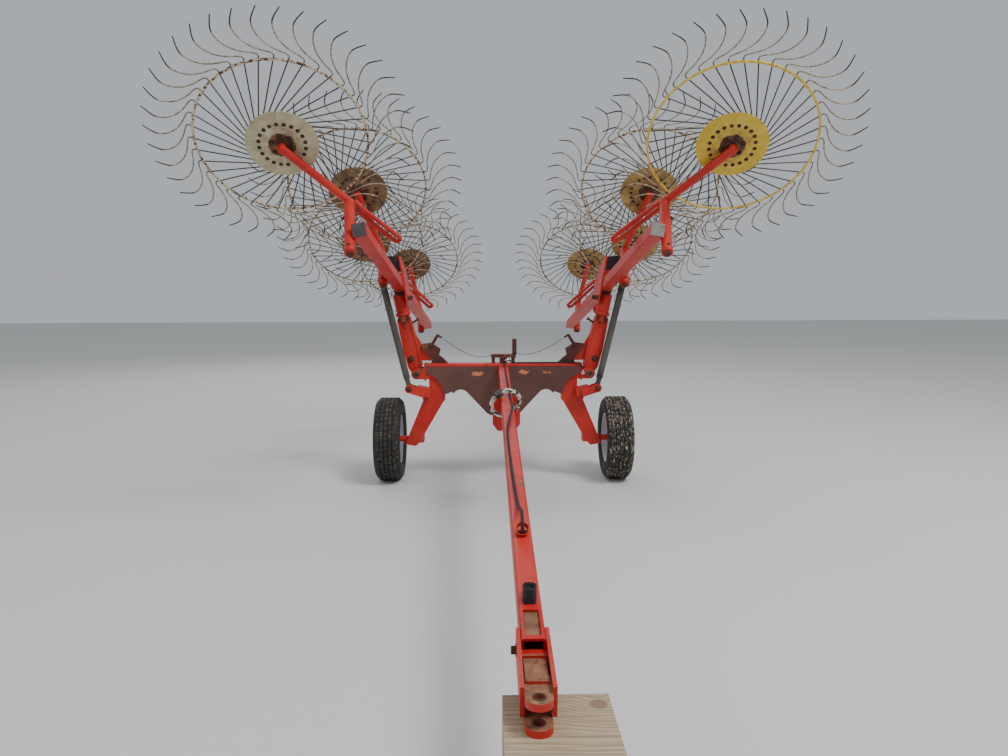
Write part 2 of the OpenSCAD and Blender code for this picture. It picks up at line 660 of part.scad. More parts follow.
// Routes of the latch cords: X, Y and height above the crossbeam's top.
left_cord = [
    [105, 0, 78], [128, 0, 70], [150, -1, 67], [175, -1, 66], [200, -2, 68], [225, -2, 72],
    [250, -2, 78], [275, -2, 86], [300, -2, 95], [325, -2, 106], [350, -2, 118], [375, -2, 132],
    [400, -1, 147], [430, 0, 166], [468, 0, 190]
];
right_cord = [
    [-95, 0, 63], [-122, 0, 50], [-150, 1, 46], [-175, 1, 46], [-200, 2, 49], [-225, 2, 54],
    [-250, 2, 61], [-275, 2, 70], [-300, 2, 81], [-325, 2, 94], [-350, 2, 109], [-375, 2, 125],
    [-400, 1, 142], [-430, 0, 163], [-468, 0, 190]
];

module drawbar_hose() {
    color("black") cord([for (p = hose_route) [p[0], p[1], bar_top(p[1]) + p[2]]], hose_d, [1, 0, 0], 10);
}

module side_hose() {
    color("black") cord([for (p = side_route) [p[0], p[1], xbeam_top + p[2]]], side_hose_d, [0, 1, 0], 10);
}

module latch_cord(side) {
    color("gray") cord([for (p = side > 0 ? left_cord : right_cord) [p[0], p[1], xbeam_top + p[2]]],
        latch_cord_d, [0, 1, 0], 8);
}

// Rope hung round the drawbar: the outer shape of its turns, leaning over to one side.
module rope_coil() {
    coil_y = -1000;
    lean = 125;
    roll = -35;
    inner = norm([bar_w / 2, bar_h / 2]) + 23;
    width = 3 * rope_d;
    color("gainsboro") at_axle() translate([-8, coil_y, bar_top(coil_y) - bar_h / 2])
        rotate([lean, roll, 0]) rotate_extrude($fn = 96)
            translate([inner, -width / 2]) square([2 * rope_d, width]);
}

crossbeam();
gusset();
drawbar();
hitch_clevis();
centre_bracket();
latches();
hinge_pins();
wheel_leg(1);  // wheel_leg_left
wheel_leg(-1);  // wheel_leg_right
timber_block();
hose_coupler();
tyre(1);  // tyre_left
tyre(-1);  // tyre_right
rim(1);  // rim_left
rim(-1);  // rim_right
lift_arm(1);  // lift_arm_left
lift_arm(-1);  // lift_arm_right
wing_beam(1);  // wing_beam_left
wing_beam(-1);  // wing_beam_right
beam_clamp(1);  // beam_clamp_left
beam_clamp(-1);  // beam_clamp_right
wheel_arms(1);  // wheel_arms_left
wheel_arms(-1);  // wheel_arms_right
barrel(1);  // barrel_left
barrel(-1);  // barrel_right
rod(1);  // rod_left
rod(-1);  // rod_right
disc(1, 1);  // disc_left_1
disc(1, 2);  // disc_left_2
disc(1, 3);  // disc_left_3
disc(1, 4);  // disc_left_4
disc(-1, 1);  // disc_right_1
disc(-1, 2);  // disc_right_2
disc(-1, 3);  // disc_right_3
disc(-1, 4);  // disc_right_4
tines(1, 1);  // tines_left_1
tines(1, 2);  // tines_left_2
tines(1, 3);  // tines_left_3
tines(1, 4);  // tines_left_4
tines(-1, 1);  // tines_right_1
tines(-1, 2);  // tines_right_2
tines(-1, 3);  // tines_right_3
tines(-1, 4);  // tines_right_4
drawbar_hose();
side_hose();
latch_cord(1);  // latch_cord_left
latch_cord(-1);  // latch_cord_right
rope_coil();
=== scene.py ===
import functools
import json
import math
import random

import bmesh
import bpy
from mathutils import Matrix, Vector


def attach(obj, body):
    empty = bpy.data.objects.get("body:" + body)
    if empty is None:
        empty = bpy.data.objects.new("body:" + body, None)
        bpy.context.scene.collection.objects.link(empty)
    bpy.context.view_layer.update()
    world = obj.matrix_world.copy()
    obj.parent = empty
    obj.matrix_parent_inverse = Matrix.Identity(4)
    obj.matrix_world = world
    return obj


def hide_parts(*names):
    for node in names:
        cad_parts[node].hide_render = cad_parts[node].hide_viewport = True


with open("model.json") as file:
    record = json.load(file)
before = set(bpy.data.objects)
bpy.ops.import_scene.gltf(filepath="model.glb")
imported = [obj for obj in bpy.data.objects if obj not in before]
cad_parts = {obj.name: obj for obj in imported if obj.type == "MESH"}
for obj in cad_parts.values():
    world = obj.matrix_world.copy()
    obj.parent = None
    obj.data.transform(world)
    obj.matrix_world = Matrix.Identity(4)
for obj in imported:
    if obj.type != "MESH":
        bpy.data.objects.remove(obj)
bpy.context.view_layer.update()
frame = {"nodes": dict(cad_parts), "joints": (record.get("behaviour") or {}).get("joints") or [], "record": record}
nodes = frame["nodes"]
joint_at = {joint["name"]: joint.get("pos_m") for joint in frame["joints"]}
random.seed(7)

FULL_TURN = 2 * math.pi
SIDES = {"left": 1, "right": -1}
WHEELS = [(side, k) for side in SIDES for k in (1, 2, 3, 4)]

# Sizes and places, in metres and degrees. An axle point is measured from the ground under the
# crossbeam's middle.
AXLE_Y = joint_at["wing_fold_left"][1]
TYRE_R = joint_at["tyre_spin_left"][2]
TRACK_HALF = abs(joint_at["tyre_spin_left"][0])
XBEAM_Z = 0.862  # middle of the crossbeam tube
XBEAM_TOP = 0.922
GUSSET_FRONT = -0.072  # front face of the gusset plate, where the drawbar starts
BAR_HALF_W = 0.038
BAR_HALF_H = 0.050
BAR_END = -3.810  # front end of the drawbar tube
BAR_END_Z = 0.437
BAR_TILT = math.atan2(XBEAM_Z - BAR_END_Z, GUSSET_FRONT - BAR_END)
BAR_RUN = (GUSSET_FRONT - BAR_END) / math.cos(BAR_TILT)
HITCH_Y = -4.050  # hitch pin
HITCH_Z = 0.392
HINGE = Vector((0.670, 0, 0.844))  # wing hinge of the left side
FOLD_LEAN = 10  # lean of a folded wing
LIFT_ARM_LEAN = 2.6  # of the lift arm, inside its wing
CYLINDER_LOW = Vector((0.054, -0.105, -0.107))  # lower cylinder pin, from the hinge
CYLINDER_EYE = Vector((0.129, -0.105, 0.909))  # rod's eye, in the wing's own frame
LATCH_PIVOT = (0.556, 0.140)  # out from the middle, and up from the crossbeam's top
BEAM_OUT = 0.670  # wing beam, from the hinge
BEAM_FALL = 0.21  # fall of the beam towards the rear, as a slope
BEAM_SLOPE = math.atan(BEAM_FALL)
BEAM_FRONT = -1.560
WHEEL_YAW = 44
SLEEVE_FIRST = -1.510  # front pivot sleeve, and the step to the next
SLEEVE_STEP = 1.080
SLEEVE_OUT = 0.065
SLEEVE_LOW = (0.150, 0.070, 0.070, 0.070)  # reach of each sleeve in front of the beam's line
SLEEVE_HIGH = 0.284
ARM_SWINGS = (32, 5, 26, -2)  # front to rear
ARM_AT = 0.308  # from the beam's line to the wheel arm
ARM_LEN = 0.495
DISC_AT = 0.395  # from the beam's line to the rake wheel
RING_R = 0.470  # ring that carries the tines

# Camera at the photograph's viewing angle.
CAMERA = (-0.135, -5.922, 1.5)  # axle point of the lens
CAMERA_PITCH = 6.725  # down
CAMERA_YAW = -1.37  # negative towards the machine's left
CAMERA_ROLL = 0.15
FRAME_PIXELS = 1008
FOCAL_PIXELS = 760
SENSOR = 36  # millimetres


def make_camera():
    data = bpy.data.cameras.new("camera")
    data.sensor_width = SENSOR
    data.lens = FOCAL_PIXELS / FRAME_PIXELS * SENSOR
    camera = bpy.data.objects.new("camera", data)
    bpy.context.scene.collection.objects.link(camera)
    place = at(at(axle(), *CAMERA, CAMERA_YAW, "Z"), 0, 0, 0, 90 - CAMERA_PITCH)
    camera.matrix_world = at(place, 0, 0, 0, -CAMERA_ROLL, "Z")
    bpy.context.scene.camera = camera


class Shader:
    """A material's node tree, with short calls for its nodes."""

    def __init__(self, name):
        self.material = bpy.data.materials.new(name)
        self.material.use_nodes = True
        self.tree = self.material.node_tree
        self.bsdf = self.tree.nodes["Principled BSDF"]
        self.place = self.new("ShaderNodeTexCoord").outputs["Object"]

    def new(self, kind, **values):
        node = self.tree.nodes.new(kind)
        for key, value in values.items():
            setattr(node, key, value)
        return node

    def feed(self, value, socket):
        """Set a socket to a number or a colour, or link an output to it."""
        if isinstance(value, tuple):
            socket.default_value = (*value, 1)
        elif isinstance(value, (int, float)):
            socket.default_value = value
        else:
            self.tree.links.new(value, socket)

    def stretched(self, scale):
        """The place on the object, scaled along each axis."""
        if not scale:
            return self.place
        mapping = self.new("ShaderNodeMapping")
        mapping.inputs["Scale"].default_value = scale
        self.feed(self.place, mapping.inputs["Vector"])
        return mapping.outputs["Vector"]

    def split(self, vector):
        """The three parts of a place or a normal."""
        node = self.new("ShaderNodeSeparateXYZ")
        self.feed(vector, node.inputs["Vector"])
        return node.outputs

    def noise(self, scale, detail=4, rough=0.55, stretch=None):
        node = self.new("ShaderNodeTexNoise")
        node.inputs["Scale"].default_value = scale
        node.inputs["Detail"].default_value = detail
        node.inputs["Roughness"].default_value = rough
        self.feed(self.stretched(stretch), node.inputs["Vector"])
        return node.outputs["Fac"]

    def ramp(self, fac, stops, smooth=True):
        node = self.new("ShaderNodeValToRGB")
        points = node.color_ramp.elements
        while len(points) < len(stops):
            points.new(0.5)
        for point, (at, colour) in zip(points, stops):
            point.position = at
            point.color = (*colour, 1)
        if smooth:
            node.color_ramp.interpolation = "EASE"
        self.feed(fac, node.inputs["Fac"])
        return node.outputs["Color"]

    def mask(self, fac, low, high, start=0.0, end=1.0):
        """A mask that goes from start to end, as fac goes from low to high."""
        return self.ramp(fac, [(low, (start,) * 3), (high, (end,) * 3)], smooth=False)

    def mix(self, fac, a, b):
        node = self.new("ShaderNodeMix", data_type="RGBA")
        self.feed(fac, node.inputs["Factor"])
        self.feed(a, node.inputs[6])
        self.feed(b, node.inputs[7])
        return node.outputs[2]

    def math(self, kind, a, b=0):
        node = self.new("ShaderNodeMath", operation=kind)
        self.feed(a, node.inputs[0])
        self.feed(b, node.inputs[1])
        return node.outputs[0]

    def distance(self, centre, stretch=None):
        node = self.new("ShaderNodeVectorMath", operation="DISTANCE")
        self.feed(self.stretched(stretch), node.inputs[0])
        node.inputs[1].default_value = [c * s for c, s in zip(centre, stretch or (1, 1, 1))]
        return node.outputs["Value"]

    def finish(self, colour, rough, height, strength=0.25, depth=0.002, metal=0.0):
        self.feed(colour, self.bsdf.inputs["Base Color"])
        self.feed(rough, self.bsdf.inputs["Roughness"])
        self.feed(metal, self.bsdf.inputs["Metallic"])
        bump = self.new("ShaderNodeBump")
        bump.inputs["Strength"].default_value = strength
        bump.inputs["Distance"].default_value = depth
        self.feed(height, bump.inputs["Height"])
        self.feed(bump.outputs["Normal"], self.bsdf.inputs["Normal"])
        return self.material


RED = (0.47, 0.012, 0.009)
RED_FADED = (0.56, 0.036, 0.022)
RUST_DARK = (0.075, 0.030, 0.016)
RUST = (0.23, 0.085, 0.035)
RUST_LIGHT = (0.42, 0.19, 0.08)
PRIMER = (0.60, 0.19, 0.085)
MUD_DARK = (0.13, 0.095, 0.060)
MUD_LIGHT = (0.30, 0.235, 0.15)
STRAW = (0.62, 0.54, 0.42)
# dark and light shade of the hub discs' paint
CREAM = ((0.42, 0.37, 0.22), (0.55, 0.50, 0.33))
YELLOW = ((0.62, 0.42, 0.030), (0.72, 0.52, 0.07))
BROWN = ((0.13, 0.065, 0.028), (0.27, 0.17, 0.070))
GOLDEN = ((0.24, 0.145, 0.042), (0.44, 0.31, 0.10))
# dark and light shade of the tine rings, and the tint of the tines on each side
YELLOW_RING = ((0.58, 0.40, 0.03), (0.76, 0.57, 0.09))
RUSTY_RING = ((0.10, 0.034, 0.018), (0.66, 0.53, 0.35))
TINE_TINT = {"left": (0.26, 0.19, 0.105), "right": (0.23, 0.185, 0.13)}
# the left tyre has more mud and straw on it
LITTER = {"left": 1, "right": 0.35}


def worn_paint(name, base, faded, rust_share=0.42, chips=0.68, shine=0.38):
    """Old gloss paint: faded in clouds, dusty, chipped to rust in spots."""
    s = Shader(name)
    clouds = s.noise(3.1, 5)
    streaks = s.noise(9, 4, stretch=(1, 1, 0.25))
    colour = s.mix(s.mask(clouds, 0.35, 0.68), base, faded)
    dark = tuple(c * 0.62 for c in base)
    colour = s.mix(s.mask(streaks, 0.56, 0.74, 0, 0.55), colour, dark)
    rust = s.ramp(s.noise(38, 6), [(0.3, RUST_DARK), (0.55, RUST), (0.75, RUST_LIGHT)])
    patches = s.mask(s.noise(7.5, 7, 0.62), chips - 0.06, chips)
    patches = s.math("MULTIPLY", patches, s.mask(s.noise(60, 3), 0.3, 0.5))
    fine = s.mask(s.noise(95, 4, 0.6), 0.69, 0.72, 0, rust_share)
    spots = s.math("MAXIMUM", patches, fine)
    colour = s.mix(spots, colour, rust)
    rough = s.math("ADD", s.math("MULTIPLY", s.noise(26, 4), 0.35), shine - 0.1)
    height = s.math("SUBTRACT", s.math("MULTIPLY", s.noise(130, 3), 0.25), spots)
    s.bsdf.inputs["Specular IOR Level"].default_value = 0.35
    return s.finish(colour, rough, height, 0.35, 0.0012)


def rusted_steel(name, dark, middle, light):
    s = Shader(name)
    colour = s.ramp(s.noise(16, 8, 0.68), [(0.28, dark), (0.5, middle), (0.72, light)])
    rough = s.mask(s.noise(30, 4), 0.3, 0.7, 0.62, 0.92)
    return s.finish(colour, rough, s.noise(85, 8, 0.7), 0.6, 0.0015, 0.25)


def disc_material(name, centre, paint, rim_paint):
    """Pressed hub disc: greasy rust round the bearing, paint stained by it, cleaner near the rim."""
    s = Shader(name)
    wave = s.math("MULTIPLY", s.math("SUBTRACT", s.noise(30, 5, 0.6), 0.5), 0.016)
    edge = s.math("ADD", s.distance(centre), wave)
    rust = s.ramp(s.noise(40, 7), [(0.3, RUST_DARK), (0.52, RUST), (0.72, RUST_LIGHT)])
    grease = s.ramp(s.noise(35, 6), [
        (0.35, (0.018, 0.013, 0.011)), (0.55, (0.060, 0.028, 0.018)), (0.75, (0.17, 0.075, 0.035))])
    painted = s.mix(s.mask(s.noise(14, 5), 0.4, 0.65), paint, rim_paint)
    colour = s.mix(s.mask(edge, 0.0885, 0.0905), grease, painted)
    stain = s.math("MULTIPLY", s.mask(edge, 0.090, 0.145, 0.75, 0), s.mask(s.noise(18, 6), 0.40, 0.60))
    colour = s.mix(stain, colour, rust)
    spots = s.mask(s.noise(48, 6, 0.65), 0.6, 0.66, 0, 0.85)
    colour = s.mix(spots, colour, rust)
    height = s.math("SUBTRACT", s.math("MULTIPLY", s.noise(120, 3), 0.3), spots)
    return s.finish(colour, s.mask(s.noise(33, 4), 0.3, 0.7, 0.42, 0.72), height, 0.4, 0.001, 0.1)


def tine_material(name, centre, ring_low, ring_high, tint):
    """Painted shade on the spokes, painted sunlight on the bare outer curves, black tips, the ring's colour."""
    s = Shader(name)
    r = s.distance(centre)
    # spokes inside the ring drawn dark as painted shade, bare steel curves outside it drawn bright as painted
    # sunlight
    shaded_spoke = s.ramp(s.noise(45, 6, 0.6), [
        (0.35, (0.030, 0.024, 0.021)), (0.55, (0.075, 0.066, 0.060)), (0.75, (0.15, 0.12, 0.10))])
    sunlit_curve = s.ramp(s.noise(55, 6, 0.6), [
        (0.32, (0.11, 0.060, 0.032)), (0.45, tint), (0.6, (0.40, 0.34, 0.25)), (0.78, (0.66, 0.61, 0.52))])
    colour = s.mix(s.mask(r, RING_R + 0.010, RING_R + 0.035), shaded_spoke, sunlit_curve)
    tip = s.mask(s.math("ADD", r, s.math("MULTIPLY", s.noise(30, 3), 0.02)), 0.655, 0.668)
    colour = s.mix(tip, colour, (0.022, 0.019, 0.020))
    inside = s.mask(r, RING_R - 0.0075, RING_R - 0.0068)
    outside = s.mask(r, RING_R + 0.0072, RING_R + 0.0079, 1, 0)
    ring_colour = s.ramp(s.noise(52, 4, 0.6), [(0.44, ring_low), (0.52, ring_high)])
    colour = s.mix(s.math("MULTIPLY", inside, outside), colour, ring_colour)
    rough = s.mask(s.noise(70, 4), 0.3, 0.7, 0.3, 0.6)
    return s.finish(colour, rough, s.noise(150, 4), 0.25, 0.0006, 0.3)


def tyre_material(name, centre, litter):
    """Aged tyre: dull black, with as much dried mud and straw in the tread as litter says."""
    s = Shader(name)
    r = s.distance(centre)
    clouds = s.noise(9, 7, 0.65)
    colour = s.ramp(clouds, [(0.3, (0.008, 0.008, 0.009)), (0.7, (0.020, 0.019, 0.018))])
    tread = s.mask(s.math("ADD", r, s.math("MULTIPLY", s.noise(24, 5), 0.02)), 0.318, 0.330, 0, 0.55)
    mud = s.math("MULTIPLY", tread, s.mask(s.noise(17, 6, 0.6), 0.50, 0.66, 0.05, litter))
    colour = s.mix(mud, colour, s.ramp(s.noise(60, 6, 0.65), [(0.35, MUD_DARK), (0.65, MUD_LIGHT)]))
    wall = s.mask(s.noise(6, 7, 0.7), 0.60, 0.74, 0, 0.30)
    colour = s.mix(wall, colour, (0.15, 0.125, 0.095))
    thin = 0.08 * (1 - litter)
    straw = s.noise(95, 3, 0.5, stretch=(1, 0.5, 0.4))
    straw = s.mask(straw, 0.57 + thin, 0.63 + thin, 0, 0.3 + 0.7 * litter)
    colour = s.mix(s.math("MULTIPLY", straw, tread), colour, STRAW)
    return s.finish(colour, s.mask(clouds, 0.3, 0.7, 0.6, 0.92), s.noise(170, 5, 0.6), 0.4, 0.001)


def laid_cord(name, dark, light):
    """Twisted strands with dirt in the lay."""
    s = Shader(name)
    strands = s.noise(900, 2, 0.4, stretch=(1, 0.35, 1))
    dirt = s.noise(17, 6, 0.65)
    colour = s.mix(s.mask(strands, 0.38, 0.62), dark, light)
    colour = s.mix(s.mask(dirt, 0.52, 0.60, 0, 0.75), colour, tuple(c * 0.35 for c in dark))
    return s.finish(colour, 0.9, strands, 0.5, 0.001)


def flecked_rope(name):
    """White rope with black streaks: painted shade between loose strands, and a black cord among them."""
    s = Shader(name)
    strands = s.noise(420, 2, 0.4, stretch=(1, 0.35, 1))
    colour = s.mix(s.mask(strands, 0.38, 0.62), (0.46, 0.45, 0.41), (0.82, 0.80, 0.74))
    # black streaks: painted shade in the gaps between the strands, and a black cord among them
    streaks = s.mask(s.noise(46, 3, 0.5, stretch=(0.45, 1, 1)), 0.515, 0.545)
    colour = s.mix(streaks, colour, (0.022, 0.021, 0.022))
    return s.finish(colour, 0.9, strands, 0.5, 0.001)


def rubber(name, dirt):
    """Black rubber with dust in clouds and in specks."""
    s = Shader(name)
    clouds = s.noise(11, 7, 0.65)
    colour = s.mix(s.mask(clouds, 0.5, 0.72, 0, dirt), (0.012, 0.012, 0.013), (0.10, 0.080, 0.058))
    colour = s.mix(s.mask(s.noise(75, 5), 0.63, 0.72, 0, dirt), colour, (0.22, 0.18, 0.12))
    rough = s.mask(clouds, 0.3, 0.7, 0.62, 0.93)
    return s.finish(colour, rough, s.noise(140, 5, 0.6), 0.45, 0.0015)


def timber(name):
    """Weathered sawn softwood: grain across the machine, bending round one knot."""
    s = Shader(name)
    near = s.distance((0.175, AXLE_Y - 3.925, 0.350))
    push = s.mask(near, 0.01, 0.15, 1, 0)
    slow = s.noise(2.4, 2, stretch=(0.35, 1.2, 1))
    place = s.split(s.place)
    line = s.math("ADD", s.math("MULTIPLY", place["Y"], 52), s.math("MULTIPLY", slow, 13))
    line = s.math("ADD", line, s.math("MULTIPLY", push, 3.2))
    line = s.math("ADD", line, s.math("MULTIPLY", place["Z"], 44))
    rings = s.math("FRACT", line)
    fine = s.noise(110, 6, 0.6, stretch=(0.05, 1, 1))
    colour = s.ramp(rings, [
        (0, (0.30, 0.22, 0.135)), (0.2, (0.40, 0.31, 0.20)), (0.7, (0.47, 0.375, 0.25)),
        (1, (0.33, 0.245, 0.15))])
    colour = s.mix(s.mask(fine, 0.48, 0.70, 0, 0.65), colour, (0.19, 0.14, 0.090))
    colour = s.mix(s.mask(s.noise(5, 6, 0.6), 0.48, 0.70, 0, 0.55), colour, (0.30, 0.25, 0.18))
    eye = s.math("FRACT", s.math("MULTIPLY", near, 170))
    knot = s.mix(s.mask(eye, 0.2, 0.8), (0.17, 0.105, 0.060), (0.34, 0.245, 0.155))
    colour = s.mix(s.mask(near, 0.024, 0.028, 1, 0), colour, knot)
    height = s.math("ADD", s.math("MULTIPLY", rings, 0.4), fine)
    return s.finish(colour, 0.85, height, 0.3, 0.0012)


def chrome(name):
    """Bright metal under a thin film of dirt."""
    s = Shader(name)
    film = s.noise(60, 5, stretch=(1, 1, 0.1))
    colour = s.mix(s.mask(film, 0.5, 0.75, 0, 0.5), (0.62, 0.62, 0.60), (0.30, 0.26, 0.22))
    return s.finish(colour, s.mask(film, 0.3, 0.7, 0.14, 0.4), s.noise(200, 3), 0.1, 0.0003, 1.0)


def gusset_paint(name):
    """Red plate drawn dull maroon as painted shade, with a few patches scraped to bright orange primer."""
    s = Shader(name)
    flat = (0.8, 0.4, 2.0)
    # maroon tones: the plate's red paint as it looks in shade, painted shade
    colour = s.mix(s.mask(s.noise(2.6, 4), 0.35, 0.68), (0.085, 0.030, 0.024), (0.13, 0.055, 0.042))
    colour = s.mix(s.mask(s.noise(40, 6, 0.65), 0.62, 0.70, 0, 0.6), colour, (0.055, 0.022, 0.016))
    edge = s.math("MULTIPLY", s.math("SUBTRACT", s.noise(34, 8, 0.75), 0.34), 0.15)
    for x, z, size in ((-0.205, 0.842, 0.052), (0.150, 0.856, 0.047), (0.335, 0.852, 0.034)):
        near = s.distance((x, AXLE_Y + GUSSET_FRONT, z), flat)
        patch = s.mask(s.math("ADD", near, edge), size, size + 0.006, 1, 0)
        colour = s.mix(patch, colour, PRIMER)
    rough = s.mask(s.noise(30, 4), 0.3, 0.7, 0.45, 0.7)
    return s.finish(colour, rough, s.noise(110, 4), 0.3, 0.0008, 0.1)


def hitch_paint(name):
    """Red sides, tops worn to brown rust where the pin and tongue rub, and dark bores."""
    s = Shader(name)
    red = s.mix(s.mask(s.noise(9, 5), 0.35, 0.68), RED, RED_FADED)
    rust = s.ramp(s.noise(46, 8, 0.68), [
        (0.3, (0.10, 0.042, 0.022)), (0.5, (0.24, 0.105, 0.055)), (0.72, (0.38, 0.20, 0.11))])
    upward = s.split(s.new("ShaderNodeNewGeometry").outputs["Normal"])["Z"]
    spots = s.mask(s.noise(21, 7, 0.65), 0.60, 0.66, 0, 0.8)
    place = s.split(s.place)
    across = s.math("ABSOLUTE", place["X"])
    middle = s.mask(across, 0.0385, 0.0400, 1, 0)
    front = s.mask(s.math("SUBTRACT", AXLE_Y - 3.700, place["Y"]), 0.14, 0.16)
    worn = s.math("MULTIPLY", s.math("MULTIPLY", middle, front), s.mask(upward, 0.75, 0.85))
    along = s.math("SUBTRACT", place["Y"], AXLE_Y + HITCH_Y)
    squares = s.math("ADD", s.math("MULTIPLY", across, across), s.math("MULTIPLY", along, along))
    bore = s.mask(s.math("SQRT", squares), 0.0130, 0.0145, 1, 0)
    rust = s.mix(bore, rust, (0.045, 0.022, 0.014))
    where = s.math("MAXIMUM", worn, s.math("MAXIMUM", spots, bore))
    rough = s.mask(where, 0, 1, 0.45, 0.85)
    return s.finish(s.mix(where, red, rust), rough, s.noise(95, 8, 0.7), 0.5, 0.001, 0.1)


# One entry for each material slot of the record, and a few more for pieces.
MATERIALS = (
    (worn_paint, "red_paint", RED, RED_FADED),
    # dark red: darker red paint drawn near black as painted shade, for the latches, centre bracket and post
    (worn_paint, "dark_red_paint", (0.060, 0.012, 0.010), (0.11, 0.025, 0.018), 0.5, 0.66, 0.5),
    (worn_paint, "white_paint", (0.68, 0.74, 0.82), (0.54, 0.56, 0.56), 0.3, 0.7, 0.3),
    (worn_paint, "grey_paint", (0.045, 0.044, 0.041), (0.105, 0.093, 0.076), 0.35, 0.72, 0.45),
    (worn_paint, "grey_plate", (0.045, 0.046, 0.050), (0.085, 0.085, 0.086), 0.4, 0.66, 0.5),
    (worn_paint, "pale_plate", (0.20, 0.20, 0.19), (0.27, 0.265, 0.25), 0.3, 0.70, 0.5),
    (chrome, "rod_chrome"),
    (rusted_steel, "rusty_steel", (0.10, 0.045, 0.025), (0.24, 0.11, 0.06), (0.38, 0.21, 0.12)),
    (rusted_steel, "hub_rust", (0.022, 0.013, 0.010), (0.075, 0.034, 0.020), (0.19, 0.085, 0.040)),
    (chrome, "bright_steel"),
    (timber, "timber"),
    (rubber, "black_rubber", 0.15),
    # grey cord: on the latch pull cords this dark grey is painted shade of the coil's pale rope
    (laid_cord, "grey_cord", (0.075, 0.070, 0.062), (0.20, 0.185, 0.16)),
    (flecked_rope, "pale_rope"),
    (worn_paint, "black_paint", (0.012, 0.012, 0.013), (0.030, 0.028, 0.026), 0.5, 0.6, 0.45),
)
materials = {name: kind(name, *values) for kind, name, *values in MATERIALS}


def disc_paint(side, k):
    """Paint of one wheel's hub disc: the two front discs have their own."""
    front, other = {"left": (YELLOW, GOLDEN), "right": (CREAM, BROWN)}[side]
    paint = front if k == 1 else other
    return disc_material(f"disc_paint_{side}_{k}", joint_at[f"rake_spin_{side}_{k}"], *paint)


@functools.cache
def tine_steel(side, k):
    ring = YELLOW_RING if (side, k) == ("left", 1) else RUSTY_RING
    centre = joint_at[f"rake_spin_{side}_{k}"]
    return tine_material(f"tine_steel_{side}_{k}", centre, *ring, TINE_TINT[side])


@functools.cache
def tyre_rubber(side):
    return tyre_material(f"tyre_rubber_{side}", joint_at[f"tyre_spin_{side}"], LITTER[side])


def dress(node, material):
    data = nodes[node].data
    data.materials.clear()
    data.materials.append(material)
    for face in data.polygons:
        face.material_index = 0


def dress_nodes():
    for part in frame["record"]["subparts"]:
        slot = part["material_slot"]
        if slot in materials:
            dress(part["node"], materials[slot])
    for side, k in WHEELS:
        dress(f"disc_{side}_{k}", disc_paint(side, k))
        dress(f"tines_{side}_{k}", tine_steel(side, k))
    for side in SIDES:
        dress(f"tyre_{side}", tyre_rubber(side))
    dress("gusset", gusset_paint("gusset_paint"))
    dress("hitch_clevis", hitch_paint("hitch_paint"))


# Floor and light.
FLOOR_HALF = 30
FLOOR_COLOUR = (0.62, 0.62, 0.61)
SKY_COLOUR = (0.86, 0.90, 0.95, 1)
SKY_STRENGTH = 0.55
LAMPS = (("key", (4.5, -4, 9), 820, 3.5), ("fill", (-7, -5, 5), 150, 6), ("back", (-3, 9, 7), 260, 6))
LAMPS_AIM = Vector((0, 0.5, 1.2))


def make_stage():
    mesh = bpy.data.meshes.new("floor")
    corners = [(x * FLOOR_HALF, y * FLOOR_HALF, 0) for x, y in ((-1, -1), (1, -1), (1, 1), (-1, 1))]
    mesh.from_pydata(corners, [], [(0, 1, 2, 3)])
    floor = bpy.data.objects.new("floor", mesh)
    bpy.context.scene.collection.objects.link(floor)
    pale = Shader("floor_pale")
    pale.feed(FLOOR_COLOUR, pale.bsdf.inputs["Base Color"])
    pale.feed(0.9, pale.bsdf.inputs["Roughness"])
    mesh.materials.append(pale.material)
    world = bpy.data.worlds.new("world")
    bpy.context.scene.world = world
    world.use_nodes = True
    sky = world.node_tree.nodes["Background"]
    sky.inputs["Color"].default_value = SKY_COLOUR
    sky.inputs["Strength"].default_value = SKY_STRENGTH
    for name, place, energy, size in LAMPS:
        light = bpy.data.lights.new(name, "AREA")
        light.energy = energy
        light.size = size
        lamp = bpy.data.objects.new(name, light)
        bpy.context.scene.collection.objects.link(lamp)
        lamp.location = place
        lamp.rotation_euler = (LAMPS_AIM - Vector(place)).to_track_quat("-Z", "Y").to_euler()


# Frames of the machine's parts.
def at(matrix, x, y, z, turn=0.0, axis="X"):
    """A place moved, and turned by degrees, inside another."""
    return matrix @ Matrix.Translation((x, y, z)) @ Matrix.Rotation(math.radians(turn), 4, axis)


def axle():
    return Matrix.Translation((0, AXLE_Y, 0))


def side_of(side):
    return Matrix.Scale(SIDES[side], 4, (1, 0, 0))


def wing(side):
    return at(axle() @ side_of(side), *HINGE, FOLD_LEAN, "Y")


def beam(side):
    return wing(side) @ Matrix.Translation((0, 0, BEAM_OUT)) @ Matrix.Rotation(-BEAM_SLOPE, 4, "X")


def sleeve(side, k):
    y = SLEEVE_FIRST + (k - 1) * SLEEVE_STEP
    return at(wing(side), SLEEVE_OUT, y, BEAM_OUT - BEAM_FALL * y, WHEEL_YAW - 90)


def arm(side, k):
    return at(sleeve(side, k), 0, 0, 0, ARM_SWINGS[k - 1], "Z")


def rake_wheel(side, k):
    return at(arm(side, k), 0, -ARM_LEN, DISC_AT)


def road_wheel(side):
    return at(axle() @ side_of(side), TRACK_HALF, 0, TYRE_R, 90, "Y")


def drawbar():
    return axle() @ Matrix.Translation((0, GUSSET_FRONT, XBEAM_Z)) @ Matrix.Rotation(BAR_TILT, 4, "X")


def bar_top(y):
    """Height of the drawbar's top face at an axle point."""
    return XBEAM_Z + BAR_HALF_H + (y - GUSSET_FRONT) * math.tan(BAR_TILT)


def round_at(radius, degrees, z):
    """A point on a circle round Z."""
    a = math.radians(degrees)
    return Vector((radius * math.cos(a), radius * math.sin(a), z))


